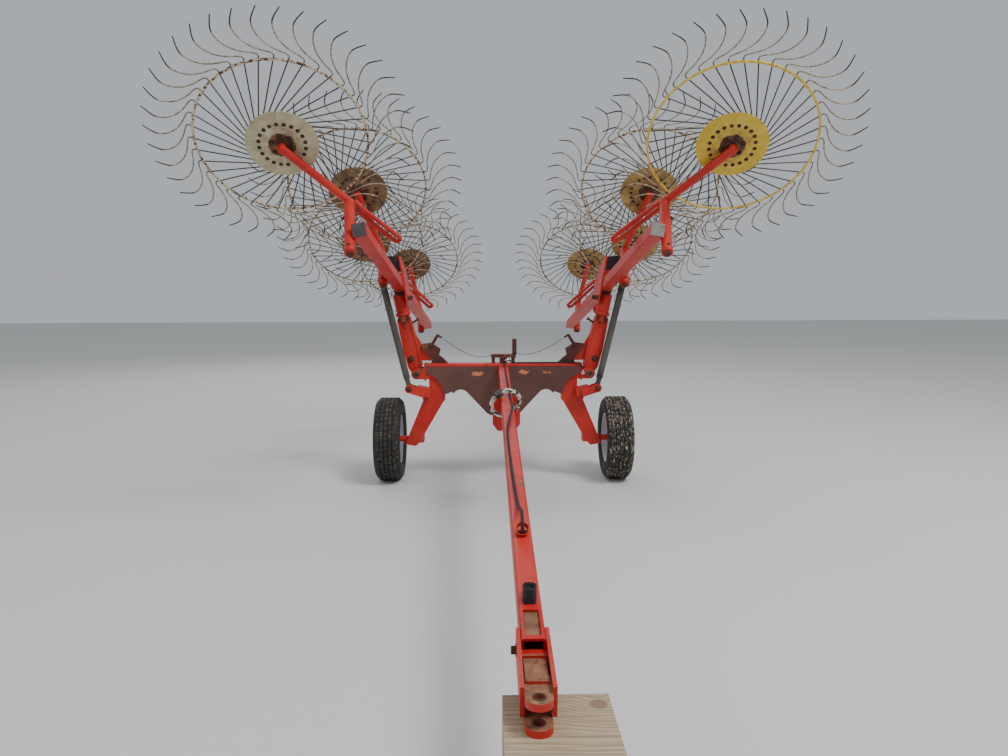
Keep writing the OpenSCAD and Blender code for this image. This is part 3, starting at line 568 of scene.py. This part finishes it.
def smooth_path(points, share):
    """A curve through the points, with share steps between each two."""
    out = []
    last = len(points) - 1
    for i in range(last):
        a, b, c, d = (points[j] for j in (max(i - 1, 0), i, i + 1, min(i + 2, last)))
        for j in range(share):
            t = j / share
            out.append(0.5 * (2 * b + (c - a) * t + (2 * a - 5 * b + 4 * c - d) * t ** 2
                              + (3 * b - a - 3 * c + d) * t ** 3))
    out.append(points[last])
    return out


class Shape:
    """Gathers rings and faces of one mesh, then makes the object."""

    def __init__(self):
        self.points = []
        self.faces = []

    def ring(self, points):
        first = len(self.points)
        self.points += points
        return range(first, len(self.points))

    def join(self, rings, closed=False):
        """Faces between each ring and the next, and between the last and the first if closed."""
        for a, b in zip(rings, rings[1:] + (rings[:1] if closed else [])):
            n = len(a)
            for j in range(n):
                self.faces.append((a[j], a[(j + 1) % n], b[(j + 1) % n], b[j]))

    def cap(self, rings):
        self.faces.append(tuple(reversed(rings[0])))
        self.faces.append(tuple(rings[-1]))

    def tube(self, path, radius, sides, across):
        """A round wire along a path; the radius may change along it."""
        rings = []
        angles = [j * FULL_TURN / sides for j in range(sides)]
        last = len(path) - 1
        for i, point in enumerate(path):
            ahead = (path[min(i + 1, last)] - path[max(i - 1, 0)]).normalized()
            u = ahead.cross(across).normalized()
            w = ahead.cross(u)
            r = radius(i / last) if callable(radius) else radius
            rings.append(self.ring([point + r * (math.cos(a) * u + math.sin(a) * w) for a in angles]))
        self.join(rings)
        self.cap(rings)

    def lathe(self, profile, steps, place):
        """A closed outline of (radius, height) pairs turned round the place's Z."""
        rings = []
        for i in range(steps):
            a = i * FULL_TURN / steps
            outline = [Vector((r * math.cos(a), r * math.sin(a), z)) for r, z in profile]
            rings.append(self.ring([place @ p for p in outline]))
        self.join(rings, True)

    def block(self, size, place, chamfer):
        """A box with its middle at the place's origin, its upright and top edges cut."""
        x, y, z = (s / 2 for s in size)
        c = chamfer
        outline = [(x, y - c), (x - c, y), (c - x, y), (-x, y - c),
                   (-x, c - y), (c - x, -y), (x - c, -y), (x, c - y)]
        rings = []
        for level, share in ((-z, 1.0), (z - c, 1.0), (z, 1 - c / max(x, y))):
            rings.append(self.ring([place @ Vector((px * share, py * share, level)) for px, py in outline]))
        self.join(rings)
        self.cap(rings)

    def bolt(self, place, across=0.019, height=0.009, washer=True):
        """A hexagon head with a chamfered top, on a washer."""
        r = across / math.sqrt(3)
        foot = 0.0015
        rings = []
        for level, share in ((foot, 1.0), (height - foot, 1.0), (height, 0.86)):
            rings.append(self.ring([place @ round_at(r * share, 60 * j, level) for j in range(6)]))
        self.join(rings)
        self.faces.append(tuple(rings[-1]))
        if washer:
            w = across * 0.82
            self.lathe([(0.001, 0), (w, 0), (w, 0.0018), (w - 0.001, 0.0026), (0.001, 0.0026)], 20, place)

    def weld(self, points, size=0.004):
        """A bead along straight runs, with small ripples."""
        for a, b in zip(points, points[1:]):
            a = Vector(a)
            b = Vector(b)
            steps = max(3, int((b - a).length / 0.006))
            path = [a.lerp(b, i / steps) for i in range(steps + 1)]
            across = Vector((0, 0, 1)) if abs((b - a).normalized().z) < 0.9 else Vector((1, 0, 0))
            ripple = [size * random.uniform(0.82, 1.12) for _ in path]
            self.tube(path, lambda t, r=ripple: r[min(int(t * (len(r) - 1) + 0.5), len(r) - 1)], 6, across)

    def make(self, name, material, body, sharp=35):
        """The object, which moves with a body of the model; edges over sharp degrees stay hard."""
        mesh = bpy.data.meshes.new(name)
        mesh.from_pydata([tuple(p) for p in self.points], [], self.faces)
        work = bmesh.new()
        work.from_mesh(mesh)
        bmesh.ops.recalc_face_normals(work, faces=work.faces)
        for edge in work.edges:
            if len(edge.link_faces) == 2 and edge.calc_face_angle(0) > math.radians(sharp):
                edge.smooth = False
        for face in work.faces:
            face.smooth = True
        work.to_mesh(mesh)
        work.free()
        thing = bpy.data.objects.new(name, mesh)
        bpy.context.scene.collection.objects.link(thing)
        mesh.materials.append(material)
        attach(thing, body)
        return thing

    def fit(self, name, material, body):
        """Makes a piece that no solid stands for."""
        thing = self.make(name, materials[material], body)
        return thing


# Cords, each along the route of its solid: millimetres from an axle point, height above what it lies on.
HOSE_D = 0.013
SIDE_HOSE_D = 0.010
LATCH_CORD_D = 0.005
HOSE_ROUTE = [
    (16, -41, 30), (14, -90, 22), (12, -150, 9), (10, -270, 7.5), (10, -400, 7.5), (12, -540, 7.5),
    (14, -700, 7.5), (16, -860, 7.5), (17, -1010, 7.5), (24, -1150, 8), (27, -1300, 16), (18, -1450, 22),
    (0, -1600, 18), (-16, -1760, 9), (-20, -1920, 7.5), (-18, -2180, 7.5), (-16, -2380, 7.5),
    (-12, -2580, 7.5), (-8, -2740, 7.5), (-4, -2850, 12), (-2, -2940, 32), (0, -3000, 54), (0, -3050, 69),
    (0, -3095, 74.5), (0, -3116, 69.5), (0, -3130, 59.5), (0, -3138.5, 44.5), (0, -3141, 22),
]
SIDE_ROUTE = [
    (28, -24, 24), (36, -24.5, 24), (52, -35, 20), (70, -46, 10), (94, -51, 5.5), (130, -51, 5.5),
    (180, -50, 5.5), (240, -51, 5.5), (300, -52, 5.5), (360, -51, 5.5), (420, -52, 5.5), (480, -53, 5.5),
    (530, -56, 5.5), (560, -63, 4), (585, -73, -1), (602, -79, -12), (613, -80, -28), (618, -80, -50),
]
LEFT_CORD = [
    (105, 0, 78), (128, 0, 70), (150, -1, 67), (175, -1, 66), (200, -2, 68), (225, -2, 72), (250, -2, 78),
    (275, -2, 86), (300, -2, 95), (325, -2, 106), (350, -2, 118), (375, -2, 132), (400, -1, 147),
    (430, 0, 166), (468, 0, 190),
]
RIGHT_CORD = [
    (-95, 0, 63), (-122, 0, 50), (-150, 1, 46), (-175, 1, 46), (-200, 2, 49), (-225, 2, 54), (-250, 2, 61),
    (-275, 2, 70), (-300, 2, 81), (-325, 2, 94), (-350, 2, 109), (-375, 2, 125), (-400, 1, 142),
    (-430, 0, 163), (-468, 0, 190),
]


def xbeam_top(_y):
    return XBEAM_TOP


def add_cord(name, node, route, base, diameter, across, material):
    points = [axle() @ Vector((x / 1000, y / 1000, base(y / 1000) + h / 1000)) for x, y, h in route]
    path = smooth_path(points, 4)
    shape = Shape()
    shape.tube(path, diameter / 2, 8 if diameter < SIDE_HOSE_D else 12, Vector(across))
    cord = shape.make(name, materials[material], "frame")
    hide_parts(node)


def add_cords():
    add_cord("hydraulic_hose", "drawbar_hose", HOSE_ROUTE, bar_top, HOSE_D, (1, 0, 0),
             "black_rubber")
    add_cord("crossbeam_hose", "side_hose", SIDE_ROUTE, xbeam_top, SIDE_HOSE_D, (0, 1, 0),
             "black_rubber")
    # pull cords: the coil's pale rope drawn in dark grey cord, painted shade of the spans
    for side, route in (("left", LEFT_CORD), ("right", RIGHT_CORD)):
        add_cord(f"pull_cord_{side}", f"latch_cord_{side}", route, xbeam_top, LATCH_CORD_D, (0, 1, 0),
                 "grey_cord")


# Rope round the drawbar: five turns twisted round a sixth, both ends under a lashing of dark cord.
COIL_PLACE = (-0.008, -1.000)
COIL_INNER = math.hypot(BAR_HALF_W, BAR_HALF_H) + 0.023
ROPE_D = 0.012
ROPE_STEPS = 40  # points in one turn
ROPE_TURNS = 6
TWISTED_TURNS = 5
ROPE_START = math.radians(88)
LASHING_R = 0.0028
LASHING_STEPS = 24
LASHING_TURNS = 7
LASHING_PITCH = 0.0064


def rope_path(place):
    path = []
    for i in range(ROPE_TURNS * ROPE_STEPS - 2):
        turn, t = divmod(i, ROPE_STEPS)
        t /= ROPE_STEPS
        # the last fifth of a turn leads over to the next strand's place
        ease = max(0.0, (t - 0.8) / 0.2)
        ease = ease * ease * (3 - 2 * ease)
        lay = FULL_TURN * (2 * t + (turn + ease) / TWISTED_TURNS)
        spread = 1 + 0.22 * math.sin(math.pi * t) ** 2
        if turn == TWISTED_TURNS:
            spread = 0.0
        elif turn == TWISTED_TURNS - 1:
            spread *= 1 - ease
        angle = ROPE_START + t * FULL_TURN
        r = COIL_INNER + (1 + 0.62 * spread * math.cos(lay)) * ROPE_D
        along = 1.10 * spread * math.sin(lay) * ROPE_D
        path.append(place @ Vector((r * math.cos(angle), r * math.sin(angle), along)))
    return path


def lashing_path(place):
    """Turns of thin cord round the bundle, with a cross-section between round and square."""
    path = []
    high = 1.0 * ROPE_D + LASHING_R
    wide = 1.5 * ROPE_D + LASHING_R
    for i in range(LASHING_TURNS * LASHING_STEPS + 1):
        turns = i / LASHING_STEPS
        a = turns * FULL_TURN
        square = 1 / (abs(math.cos(a)) ** 6 + abs(math.sin(a)) ** 6) ** (1 / 6)
        r = COIL_INNER + ROPE_D + high * square * math.cos(a)
        angle = ROPE_START - (turns - LASHING_TURNS / 2) * LASHING_PITCH / COIL_INNER
        path.append(place @ Vector((r * math.cos(angle), r * math.sin(angle), wide * square * math.sin(a))))
    return path


def add_rope():
    x, y = COIL_PLACE
    place = at(at(axle(), x, y, bar_top(y) - BAR_HALF_H, -35, "Y"), 0, 0, 0, 125)
    path = rope_path(place)
    shape = Shape()
    shape.tube(path, ROPE_D / 2 * 0.98, 10, place.to_3x3() @ Vector((0, 0, 1)))
    rope = shape.make("pull_rope", materials["pale_rope"], "frame")
    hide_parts("rope_coil")
    shape = Shape()
    shape.tube(lashing_path(place), LASHING_R, 8, place.to_3x3() @ Vector((0.2, 1, 0.1)))
    lashing = shape.fit("rope_lashing", "grey_cord", "frame")


# Rake wheels: spring tines of round wire, the flat ring that carries them, and the hub's bolts.
TINE_COUNT = 40
TINE_R = 0.0038
TINE_CONE = 6.5
TINE_SAG = 0.0015
TAIL = 0.260  # reach of a tine past the ring
TINE_CURVE = ((0.005, 0.07), (-0.002, 0.116), (-0.025, 0.147), (-0.075, 0.194), (-0.130, 0.295),
              (-0.172, 0.457), (-0.190, 0.651), (-0.170, 0.925))  # sideways, and share of the tail
TINE_LINE = [(-0.085, 0.160), (0, RING_R)] + [(x, RING_R + share * TAIL) for x, share in TINE_CURVE]
RING_HALF_W = 0.0065
RING_HALF_H = 0.0045
RING_EDGE = 0.0018  # rounding of the ring's edges
DISC_Z = -0.0426  # middle of the pressed disc's sheet
HUB_BOLTS_R = 0.060
DISC_HOLES_R = 0.127


def tine_place(i):
    turned = Matrix.Rotation(math.radians(360 / TINE_COUNT * i), 4, "Z")
    return at(at(turned, 0, RING_R, 0, TINE_CONE), 0, -RING_R, 0)


def tine_radius(t):
    """The wire is ground thinner at its tip."""
    return TINE_R * (1.0 if t < 0.93 else 1 - (t - 0.93) * 3.5)


def add_tines(side, k):
    place = rake_wheel(side, k)
    shape = Shape()
    line = [Vector((x, y, 0)) for x, y in TINE_LINE]
    line = smooth_path([line[0].lerp(line[1], t) for t in (0, 0.25, 0.5, 0.75)] + line[1:], 3)
    for i in range(1, TINE_COUNT + 1):
        sag = random.uniform(-TINE_SAG, TINE_SAG)
        turn = place @ tine_place(i)
        path = [turn @ (p + Vector((0, 0, sag * (p.y - 0.1)))) for p in line]
        shape.tube(path, tine_radius, 8, turn.to_3x3() @ Vector((0, 0, 1)))
    w, h, c = RING_HALF_W, RING_HALF_H, RING_EDGE
    edge = [(w - c, -h), (w, c - h), (w, h - c), (w - c, h),
            (c - w, h), (-w, h - c), (-w, c - h), (c - w, -h)]
    shape.lathe([(RING_R + a, b) for a, b in edge], 120, place)
    wire = shape.make(f"wire_tines_{side}_{k}", tine_steel(side, k), f"rake_wheel_{side}_{k}", sharp=50)
    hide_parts(f"tines_{side}_{k}")


def add_hub_bolts(side, k):
    """Six bolts through the disc, plugged holes further out, bearing cover and seal."""
    place = rake_wheel(side, k)
    shape = Shape()
    for i in range(6):
        x, y, _ = round_at(HUB_BOLTS_R, 60 * i, 0)
        head = Matrix.Rotation(math.radians(random.uniform(0, 60)), 4, "Z")
        nut = at(place, x, y, DISC_Z - 0.003)
        shape.bolt(at(place, x, y, DISC_Z - 0.010, 180) @ head)
        shape.bolt(nut @ head, 0.019, 0.011)
        shape.lathe([(0, 0.006), (0.0058, 0.006), (0.0058, 0.019), (0.005, 0.020), (0, 0.020)], 10, nut)
    for i in range(20):
        hole = at(place, *round_at(DISC_HOLES_R, 18 * i + 18, DISC_Z - 0.0035))
        shape.lathe([(0, -0.0010), (0.0117, -0.0010), (0.0117, 0.0012), (0, 0.0012)], 20, hole)
        for flip in (0, 180):
            shape.bolt(at(hole, 0, 0, 0, flip), 0.013, 0.0042, False)
    shape.lathe([(0.0188, -0.0575), (0.0392, -0.0575), (0.0405, -0.0560), (0.0405, -0.0530),
                 (0.0392, -0.0530)], 40, place)
    shape.lathe([(0.0188, 0.0220), (0.0385, 0.0220), (0.0385, 0.0235), (0.0370, 0.0250),
                 (0.0200, 0.0250)], 40, place)
    shape.fit(f"hub_bolts_{side}_{k}", "hub_rust", f"rake_wheel_{side}_{k}")


# Road wheels.
WHEEL_NUTS = 5
WHEEL_NUTS_R = 0.0575
VALVE_R = 0.160
TYRE_W = 0.205
TREAD_CELLS = 52
TREAD_HALF = 0.072
TREAD_RIBS = ((-TREAD_HALF, -0.052), (-0.043, -0.020), (-0.012, 0.012), (0.020, 0.043),
              (0.052, TREAD_HALF))
TREAD_DEPTH = 0.0085
TREAD_CUT = 0.0055
SHOULDER_CUT = 0.004


def add_rim_pieces(side):
    place = road_wheel(side)
    body = f"tyre_wheel_{side}"
    shape = Shape()
    for i in range(WHEEL_NUTS):
        x, y, _ = round_at(WHEEL_NUTS_R, 360 / WHEEL_NUTS * i + 20, 0)
        for z, flip in ((0.015, 0), (0.005, 180)):
            shape.bolt(at(place, x, y, z, flip), 0.021, 0.014)
    # grease cap on the hub's outer end and a seal on its inner end
    shape.lathe([(0, 0.050), (0.036, 0.050), (0.036, 0.060), (0.030, 0.069), (0.018, 0.074),
                 (0, 0.075)], 32, place)
    shape.lathe([(0.0235, -0.0625), (0.040, -0.0625), (0.042, -0.0600), (0.0235, -0.0600)], 32, place)
    shape.fit(f"wheel_nuts_{side}", "rusty_steel", body)
    shape = Shape()
    for z, reach in ((0.010, 0.036), (0.005, -0.036)):
        foot = round_at(VALVE_R, 155, z)
        tip = round_at(VALVE_R - 0.010, 155, z + reach)
        path = [place @ foot.lerp(tip, t / 5) for t in range(6)]
        shape.tube(path, lambda t: 0.0042 if t < 0.65 else 0.0052, 12, Vector((0, 1, 0.3)))
    shape.fit(f"valve_{side}", "black_rubber", body)


def add_tread(side):
    """Implement tyre: five ribs with slanted cuts, shoulder blocks and a stepped side wall."""
    place = road_wheel(side)
    shape = Shape()
    low = TYRE_R - TREAD_DEPTH
    wall = ((0.1925, -0.36), (0.200, -0.43), (0.222, -0.475), (0.255, -0.5), (0.268, -0.497),
            (0.272, -0.488), (0.295, -0.478), (0.3085, -0.430))
    wall = [(r, share * TYRE_W) for r, share in wall] + [(low - 0.001, -0.375 * TYRE_W)]
    rows = wall[:]
    for a, b in TREAD_RIBS:
        rows += [(low, a - 0.0006), (TYRE_R, a + 0.0008), (TYRE_R, (a + b) / 2), (TYRE_R, b - 0.0008),
                 (low, b + 0.0006)]
    rows += [(r, -z) for r, z in reversed(wall)]
    crown = range(len(wall), len(rows) - len(wall))
    shoulders = (len(wall) - 2, len(rows) - len(wall) + 1)
    rings = []
    for cell in range(TREAD_CELLS):
        # the last of a cell's three rows of points lies in the cut
        for share, in_cut in ((0, False), (0.80, False), (0.90, True)):
            outline = []
            for j, (r, z) in enumerate(rows):
                a = (cell + share) * FULL_TURN / TREAD_CELLS
                if j in crown:
                    a += 0.020 * math.sin(z / TREAD_HALF * 2.6)
                    r -= TREAD_CUT if in_cut and r == TYRE_R else 0
                elif in_cut and j in shoulders:
                    r -= SHOULDER_CUT
                outline.append(place @ Vector((r * math.cos(a), r * math.sin(a), z)))
            rings.append(shape.ring(outline))
    shape.join(rings, True)
    tyre = shape.make(f"ribbed_tyre_{side}", tyre_rubber(side), f"tyre_wheel_{side}", sharp=28)
    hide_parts(f"tyre_{side}")


# Bolts, welds and fittings of the frame.
CYLINDER_PIN_HALF = 0.052  # half length of a lower cylinder pin
HINGE_PIN_HALF = 0.0855


def add_frame_bolts():
    shape = Shape()
    # bolt of the right hitch cheek
    shape.bolt(at(axle(), -0.050, -3.790, 0.440, -90, "Y"), 0.024, 0.016)
    # collars round the pin hole of both lugs
    for lug in (0.0365, -0.0365):
        shape.lathe([(0.0132, 0), (0.0190, 0), (0.0180, 0.0022), (0.0150, 0.0026), (0.0136, 0.0015)], 40,
                    at(axle(), 0, HITCH_Y, HITCH_Z + lug + 0.0105))
    # hinge pins: end washers and split pins
    for s in (1, -1):
        for end in (-1, 1):
            place = at(axle(), s * HINGE.x, end * HINGE_PIN_HALF, HINGE.z, -90 * end)
            shape.lathe([(0, 0), (0.0200, 0), (0.0190, 0.0020), (0.0060, 0.0026), (0, 0.0026)], 32, place)
            pin = [Vector((x, 0.004 * math.sin(x * 160), 0.004))
                   for x in (-0.028, -0.018, -0.008, 0.002, 0.012, 0.022, 0.030)]
            shape.tube([place @ p for p in pin], 0.0022, 8, Vector((0, 1, 0.2)))
    # heads of the lower cylinder pins
    low = HINGE + CYLINDER_LOW
    for s in (1, -1):
        for end in (-1, 1):
            shape.lathe([(0, -0.0005), (0.0205, -0.0005), (0.0205, 0.0030), (0.0170, 0.0034),
                         (0.0155, 0.0075), (0.0120, 0.0100), (0, 0.0108)], 32,
                        at(axle(), s * low.x, low.y + end * CYLINDER_PIN_HALF, low.z, -90 * end))
    shape.fit("frame_bolts", "hub_rust", "frame")


def add_frame_welds():
    """Beads between drawbar, gusset, crossbeam, legs and latches."""
    shape = Shape()
    for s in (1, -1):
        for x, y, z, to_x, to_z, size in ((0.0385, -0.0735, 0.905, 0.0385, 0.818, 0.004),
                                          (0.598, -0.073, 0.895, 0.598, 0.850, 0.003),
                                          (0.455, -0.052, 0.8035, 0.575, 0.8035, 0.004),
                                          (0.434, -0.045, 0.9235, 0.560, 0.9235, 0.003),
                                          (0.100, -0.0615, 0.9015, 0.590, 0.9015, 0.003)):
            shape.weld([axle() @ Vector((s * x, y, z)), axle() @ Vector((s * to_x, y, to_z))], size)
    shape.fit("frame_welds", "red_paint", "frame")


def add_hose_fittings():
    shape = Shape()
    # nut and elbow at the side hose's lower end
    nut = at(axle(), 0.618, -0.078, 0.866)
    shape.lathe([(0, -0.016), (0.0095, -0.016), (0.0105, -0.013), (0.0105, 0.004), (0.0080, 0.008),
                 (0, 0.008)], 6, nut)
    shape.lathe([(0, -0.022), (0.0075, -0.022), (0.0075, -0.010), (0, -0.010)], 16, nut)
    shape.block((0.030, 0.014, 0.022), at(axle(), 0.618, -0.076, 0.848), 0.003)
    # pressed ferrules where the two hoses leave the bracket
    for ferrule in (at(axle(), 0.0285, -0.024, 0.946, 90, "Y"), at(axle(), 0.0165, -0.043, 0.9455, 100)):
        shape.lathe([(0.0055, -0.002), (0.0098, -0.002), (0.0098, 0.010), (0.0086, 0.012), (0.0086, 0.022),
                     (0.0068, 0.024)], 24, ferrule)
    shape.fit("hose_fittings", "bright_steel", "frame")


def add_coupler_cap():
    """Dust cap of the hose coupler: rings, a torn rim and a stem."""
    shape = Shape()
    top = at(drawbar(), 0, 0.215 - BAR_RUN, BAR_HALF_H)
    shape.lathe([(0.0168, 0.0380), (0.0200, 0.0470), (0.0228, 0.0475), (0.0235, 0.0495), (0.0215, 0.0510),
                 (0.0175, 0.0500), (0.0150, 0.0400)], 48, top)
    for r, z in ((0.0120, 0.0400), (0.0072, 0.0395)):
        shape.lathe([(r - 0.0022, 0.0375), (r - 0.0020, z + 0.0020), (r, z + 0.0034),
                     (r + 0.0020, z + 0.0020), (r + 0.0022, 0.0375)], 40, top)
    shape.lathe([(0, 0.0375), (0.0035, 0.0375), (0.0030, 0.0450), (0, 0.0460)], 20, top)
    for i in range(13):
        tooth = at(at(top, 0, 0, 0, 20 + 11 * i, "Z"), 0.0222, 0, 0.0505)
        tall = random.uniform(0.004, 0.011)
        lean = Matrix.Rotation(random.uniform(-0.3, 0.3), 4, "X")
        shape.block((0.0026, 0.0034, tall), tooth @ lean, 0.0006)
    shape.fit("coupler_cap", "black_rubber", "frame")


def add_slot_floor():
    """Rusty plate in the slot at the drawbar's front end, welded all round."""
    shape = Shape()
    bed = at(drawbar(), 0, 0.090 - BAR_RUN, 0.0400)
    shape.block((0.0470, 0.1390, 0.004), bed, 0.0015)
    corners = ((1, 1), (1, -1), (-1, -1), (-1, 1), (1, 1))
    shape.weld([bed @ Vector((x * 0.0215, y * 0.0675, 0.002)) for x, y in corners], 0.0022)
    shape.fit("slot_floor", "rusty_steel", "frame")


def add_latch_pivots():
    shape = Shape()
    out, up = LATCH_PIVOT
    for s in (1, -1):
        for end in (-1, 1):
            shape.lathe([(0, 0), (0.014, 0), (0.014, 0.003), (0.009, 0.004), (0.009, 0.009), (0, 0.009)],
                        24, at(axle(), s * out, end * 0.034, XBEAM_TOP + up, -90 * end))
    shape.fit("latch_pivots", "hub_rust", "frame")


# Pieces of the wings.
def add_wing_bolts(side):
    place = wing(side)
    line = beam(side)
    lean = at(place, 0, 0, 0, LIFT_ARM_LEAN, "Y")
    shape = Shape()
    # lift arm: latch pin, pivot and the two bolts of the index plate
    shape.bolt(at(lean, 0, -0.035, 0.405, 90), 0.024, 0.014)
    shape.bolt(at(lean, 0.018, -0.033, 0.120, 90), 0.030, 0.016)
    for x in (-0.030, 0.030):
        shape.bolt(at(lean, x, -0.045, 0.437, 90), 0.019, 0.010)
    # saddle bolts, on both sides of the beam
    for y in (-0.040, 0.040):
        shape.bolt(at(line, 0.052, y, 0.008, 90, "Y"), 0.024, 0.013)
        shape.bolt(at(line, 0.020, y, -0.052, 180), 0.022, 0.012)
    for y in (-0.140, -0.075, 0.020, 0.120):
        shape.bolt(at(place, -0.052, y, 0.585, -90, "Y"), 0.024, 0.012)
    for k, low in enumerate(SLEEVE_LOW, 1):
        bush = sleeve(side, k)
        end = arm(side, k)
        shape.bolt(at(bush, 0.031, 0, 0.160, 90, "Y"), 0.017, 0.014)
        shape.bolt(at(bush, 0, -0.031, -low + 0.030, 90), 0.013, 0.010, False)
        # cap of the arm's pivot, and the spindle's end
        shape.lathe([(0, 0), (0.020, 0), (0.019, 0.006), (0.008, 0.009), (0, 0.009)], 24,
                    at(end, 0, 0, -low - 0.014, 180))
        shape.lathe([(0, 0), (0.017, 0), (0.0165, 0.010), (0.014, 0.012), (0, 0.012)], 24,
                    at(end, 0, -ARM_LEN, DISC_AT + 0.040))
        # castle nut behind the hub
        shape.bolt(at(end, 0, -ARM_LEN, ARM_AT + 0.026), 0.046, 0.020, False)
    # stub that the transport latch hooks on
    stub = ((-0.030, -0.012, 0.380), (-0.060, -0.012, 0.392), (-0.098, -0.012, 0.407))
    stub = [lean @ Vector(p) for p in stub]
    shape.tube(stub, 0.0085, 16, Vector((0, 1, 0)))
    head = stub[2] + (stub[2] - stub[1]).normalized() * 0.010
    shape.tube([stub[2], head], 0.0135, 16, Vector((0, 1, 0)))
    shape.fit(f"wing_bolts_{side}", "hub_rust", f"wing_{side}")


def add_wing_collars(side):
    place = wing(side)
    lean = at(place, 0, 0, 0, LIFT_ARM_LEAN, "Y")
    shape = Shape()
    for k, low in enumerate(SLEEVE_LOW, 1):
        bush = sleeve(side, k)
        for z in (-low, SLEEVE_HIGH - 0.008):
            shape.lathe([(0.0250, 0), (0.0325, 0), (0.0335, 0.002), (0.0335, 0.006), (0.0325, 0.008),
                         (0.0250, 0.008)], 40, at(bush, 0, 0, z))
        shape.lathe([(0.0232, 0), (0.0262, 0.001), (0.0262, 0.005), (0.0232, 0.006)], 32,
                    at(arm(side, k), 0, 0.034, ARM_AT, 90))
    # ring seam on the head tube and the turned edge of the arm's foot
    shape.lathe([(0.0470, 0), (0.0500, 0.001), (0.0500, 0.004), (0.0470, 0.006)], 48, at(lean, 0, 0, 0.484))
    shape.lathe([(0.0470, 0), (0.0490, 0.001), (0.0490, 0.003), (0.0470, 0.005)], 48, at(lean, 0, 0, 0.457))
    for y in (-0.052, 0.049):
        shape.lathe([(0.0215, 0), (0.0415, 0), (0.0425, 0.001), (0.0425, 0.003), (0.0215, 0.003)], 48,
                    at(place, 0, y, 0, -90))
    shape.fit(f"wing_collars_{side}", "red_paint", f"wing_{side}")


def add_beam_plate(side):
    """Blank square plate on the beam's front end, pale on the left wing and grey on the right."""
    shape = Shape()
    front = at(beam(side), 0, BEAM_FRONT / math.cos(BEAM_SLOPE) - 0.010, 0, 90)
    shape.block((0.078, 0.078, 0.004), front, 0.002)
    finish = {"left": "pale_plate", "right": "grey_plate"}[side]
    shape.fit(f"beam_plate_{side}", finish, f"wing_{side}")


def cylinder(side):
    """The lift cylinder's frame at its lower pin, with Z towards the rod's eye, and its length."""
    away = Matrix.Rotation(math.radians(FOLD_LEAN), 4, "Y") @ CYLINDER_EYE - CYLINDER_LOW
    low = Matrix.Translation(HINGE + CYLINDER_LOW)
    return axle() @ side_of(side) @ low @ Matrix.Rotation(math.atan2(away.x, away.z), 4, "Y"), away.length


def add_cylinder_pieces(side):
    base, length = cylinder(side)
    top = length - 0.164
    shape = Shape()
    # gland with spanner flats, wiper, weld rings and the two ports
    shape.lathe([(0.0155, top - 0.001), (0.0225, top - 0.001), (0.0225, top + 0.003),
                 (0.0205, top + 0.006), (0.0155, top + 0.006)], 40, base)
    for z in (0.078, 0.092, top - 0.040):
        shape.lathe([(0.0245, z), (0.0268, z + 0.001), (0.0268, z + 0.005), (0.0245, z + 0.006)], 48, base)
    for z in (0.118, top - 0.060):
        port = at(base, 0, -0.024, z, 90)
        shape.lathe([(0, 0), (0.0125, 0), (0.0125, 0.010), (0.0110, 0.012), (0, 0.012)], 24, port)
        shape.bolt(at(port, 0, 0, 0.012), 0.019, 0.011, False)
    shape.fit(f"cylinder_parts_{side}", "grey_paint", f"barrel_{side}")
    # rings at both sides of the rod's eye
    shape = Shape()
    for end in (-1, 1):
        shape.lathe([(0.0127, 0), (0.0235, 0), (0.0235, 0.0015), (0.0225, 0.0025), (0.0127, 0.0025)], 32,
                    at(base, 0, end * 0.0200, length, -90 * end))
    shape.fit(f"rod_eye_parts_{side}", "grey_paint", f"rod_{side}")


make_camera()
add_cords()
add_rope()
make_stage()
dress_nodes()
for wheel_side, number in WHEELS:
    add_tines(wheel_side, number)
    add_hub_bolts(wheel_side, number)
for wing_side in SIDES:
    add_rim_pieces(wing_side)
    add_tread(wing_side)
    add_wing_bolts(wing_side)
    add_wing_collars(wing_side)
    add_beam_plate(wing_side)
    add_cylinder_pieces(wing_side)
add_frame_bolts()
add_frame_welds()
add_hose_fittings()
add_coupler_cap()
add_slot_floor()
add_latch_pivots()
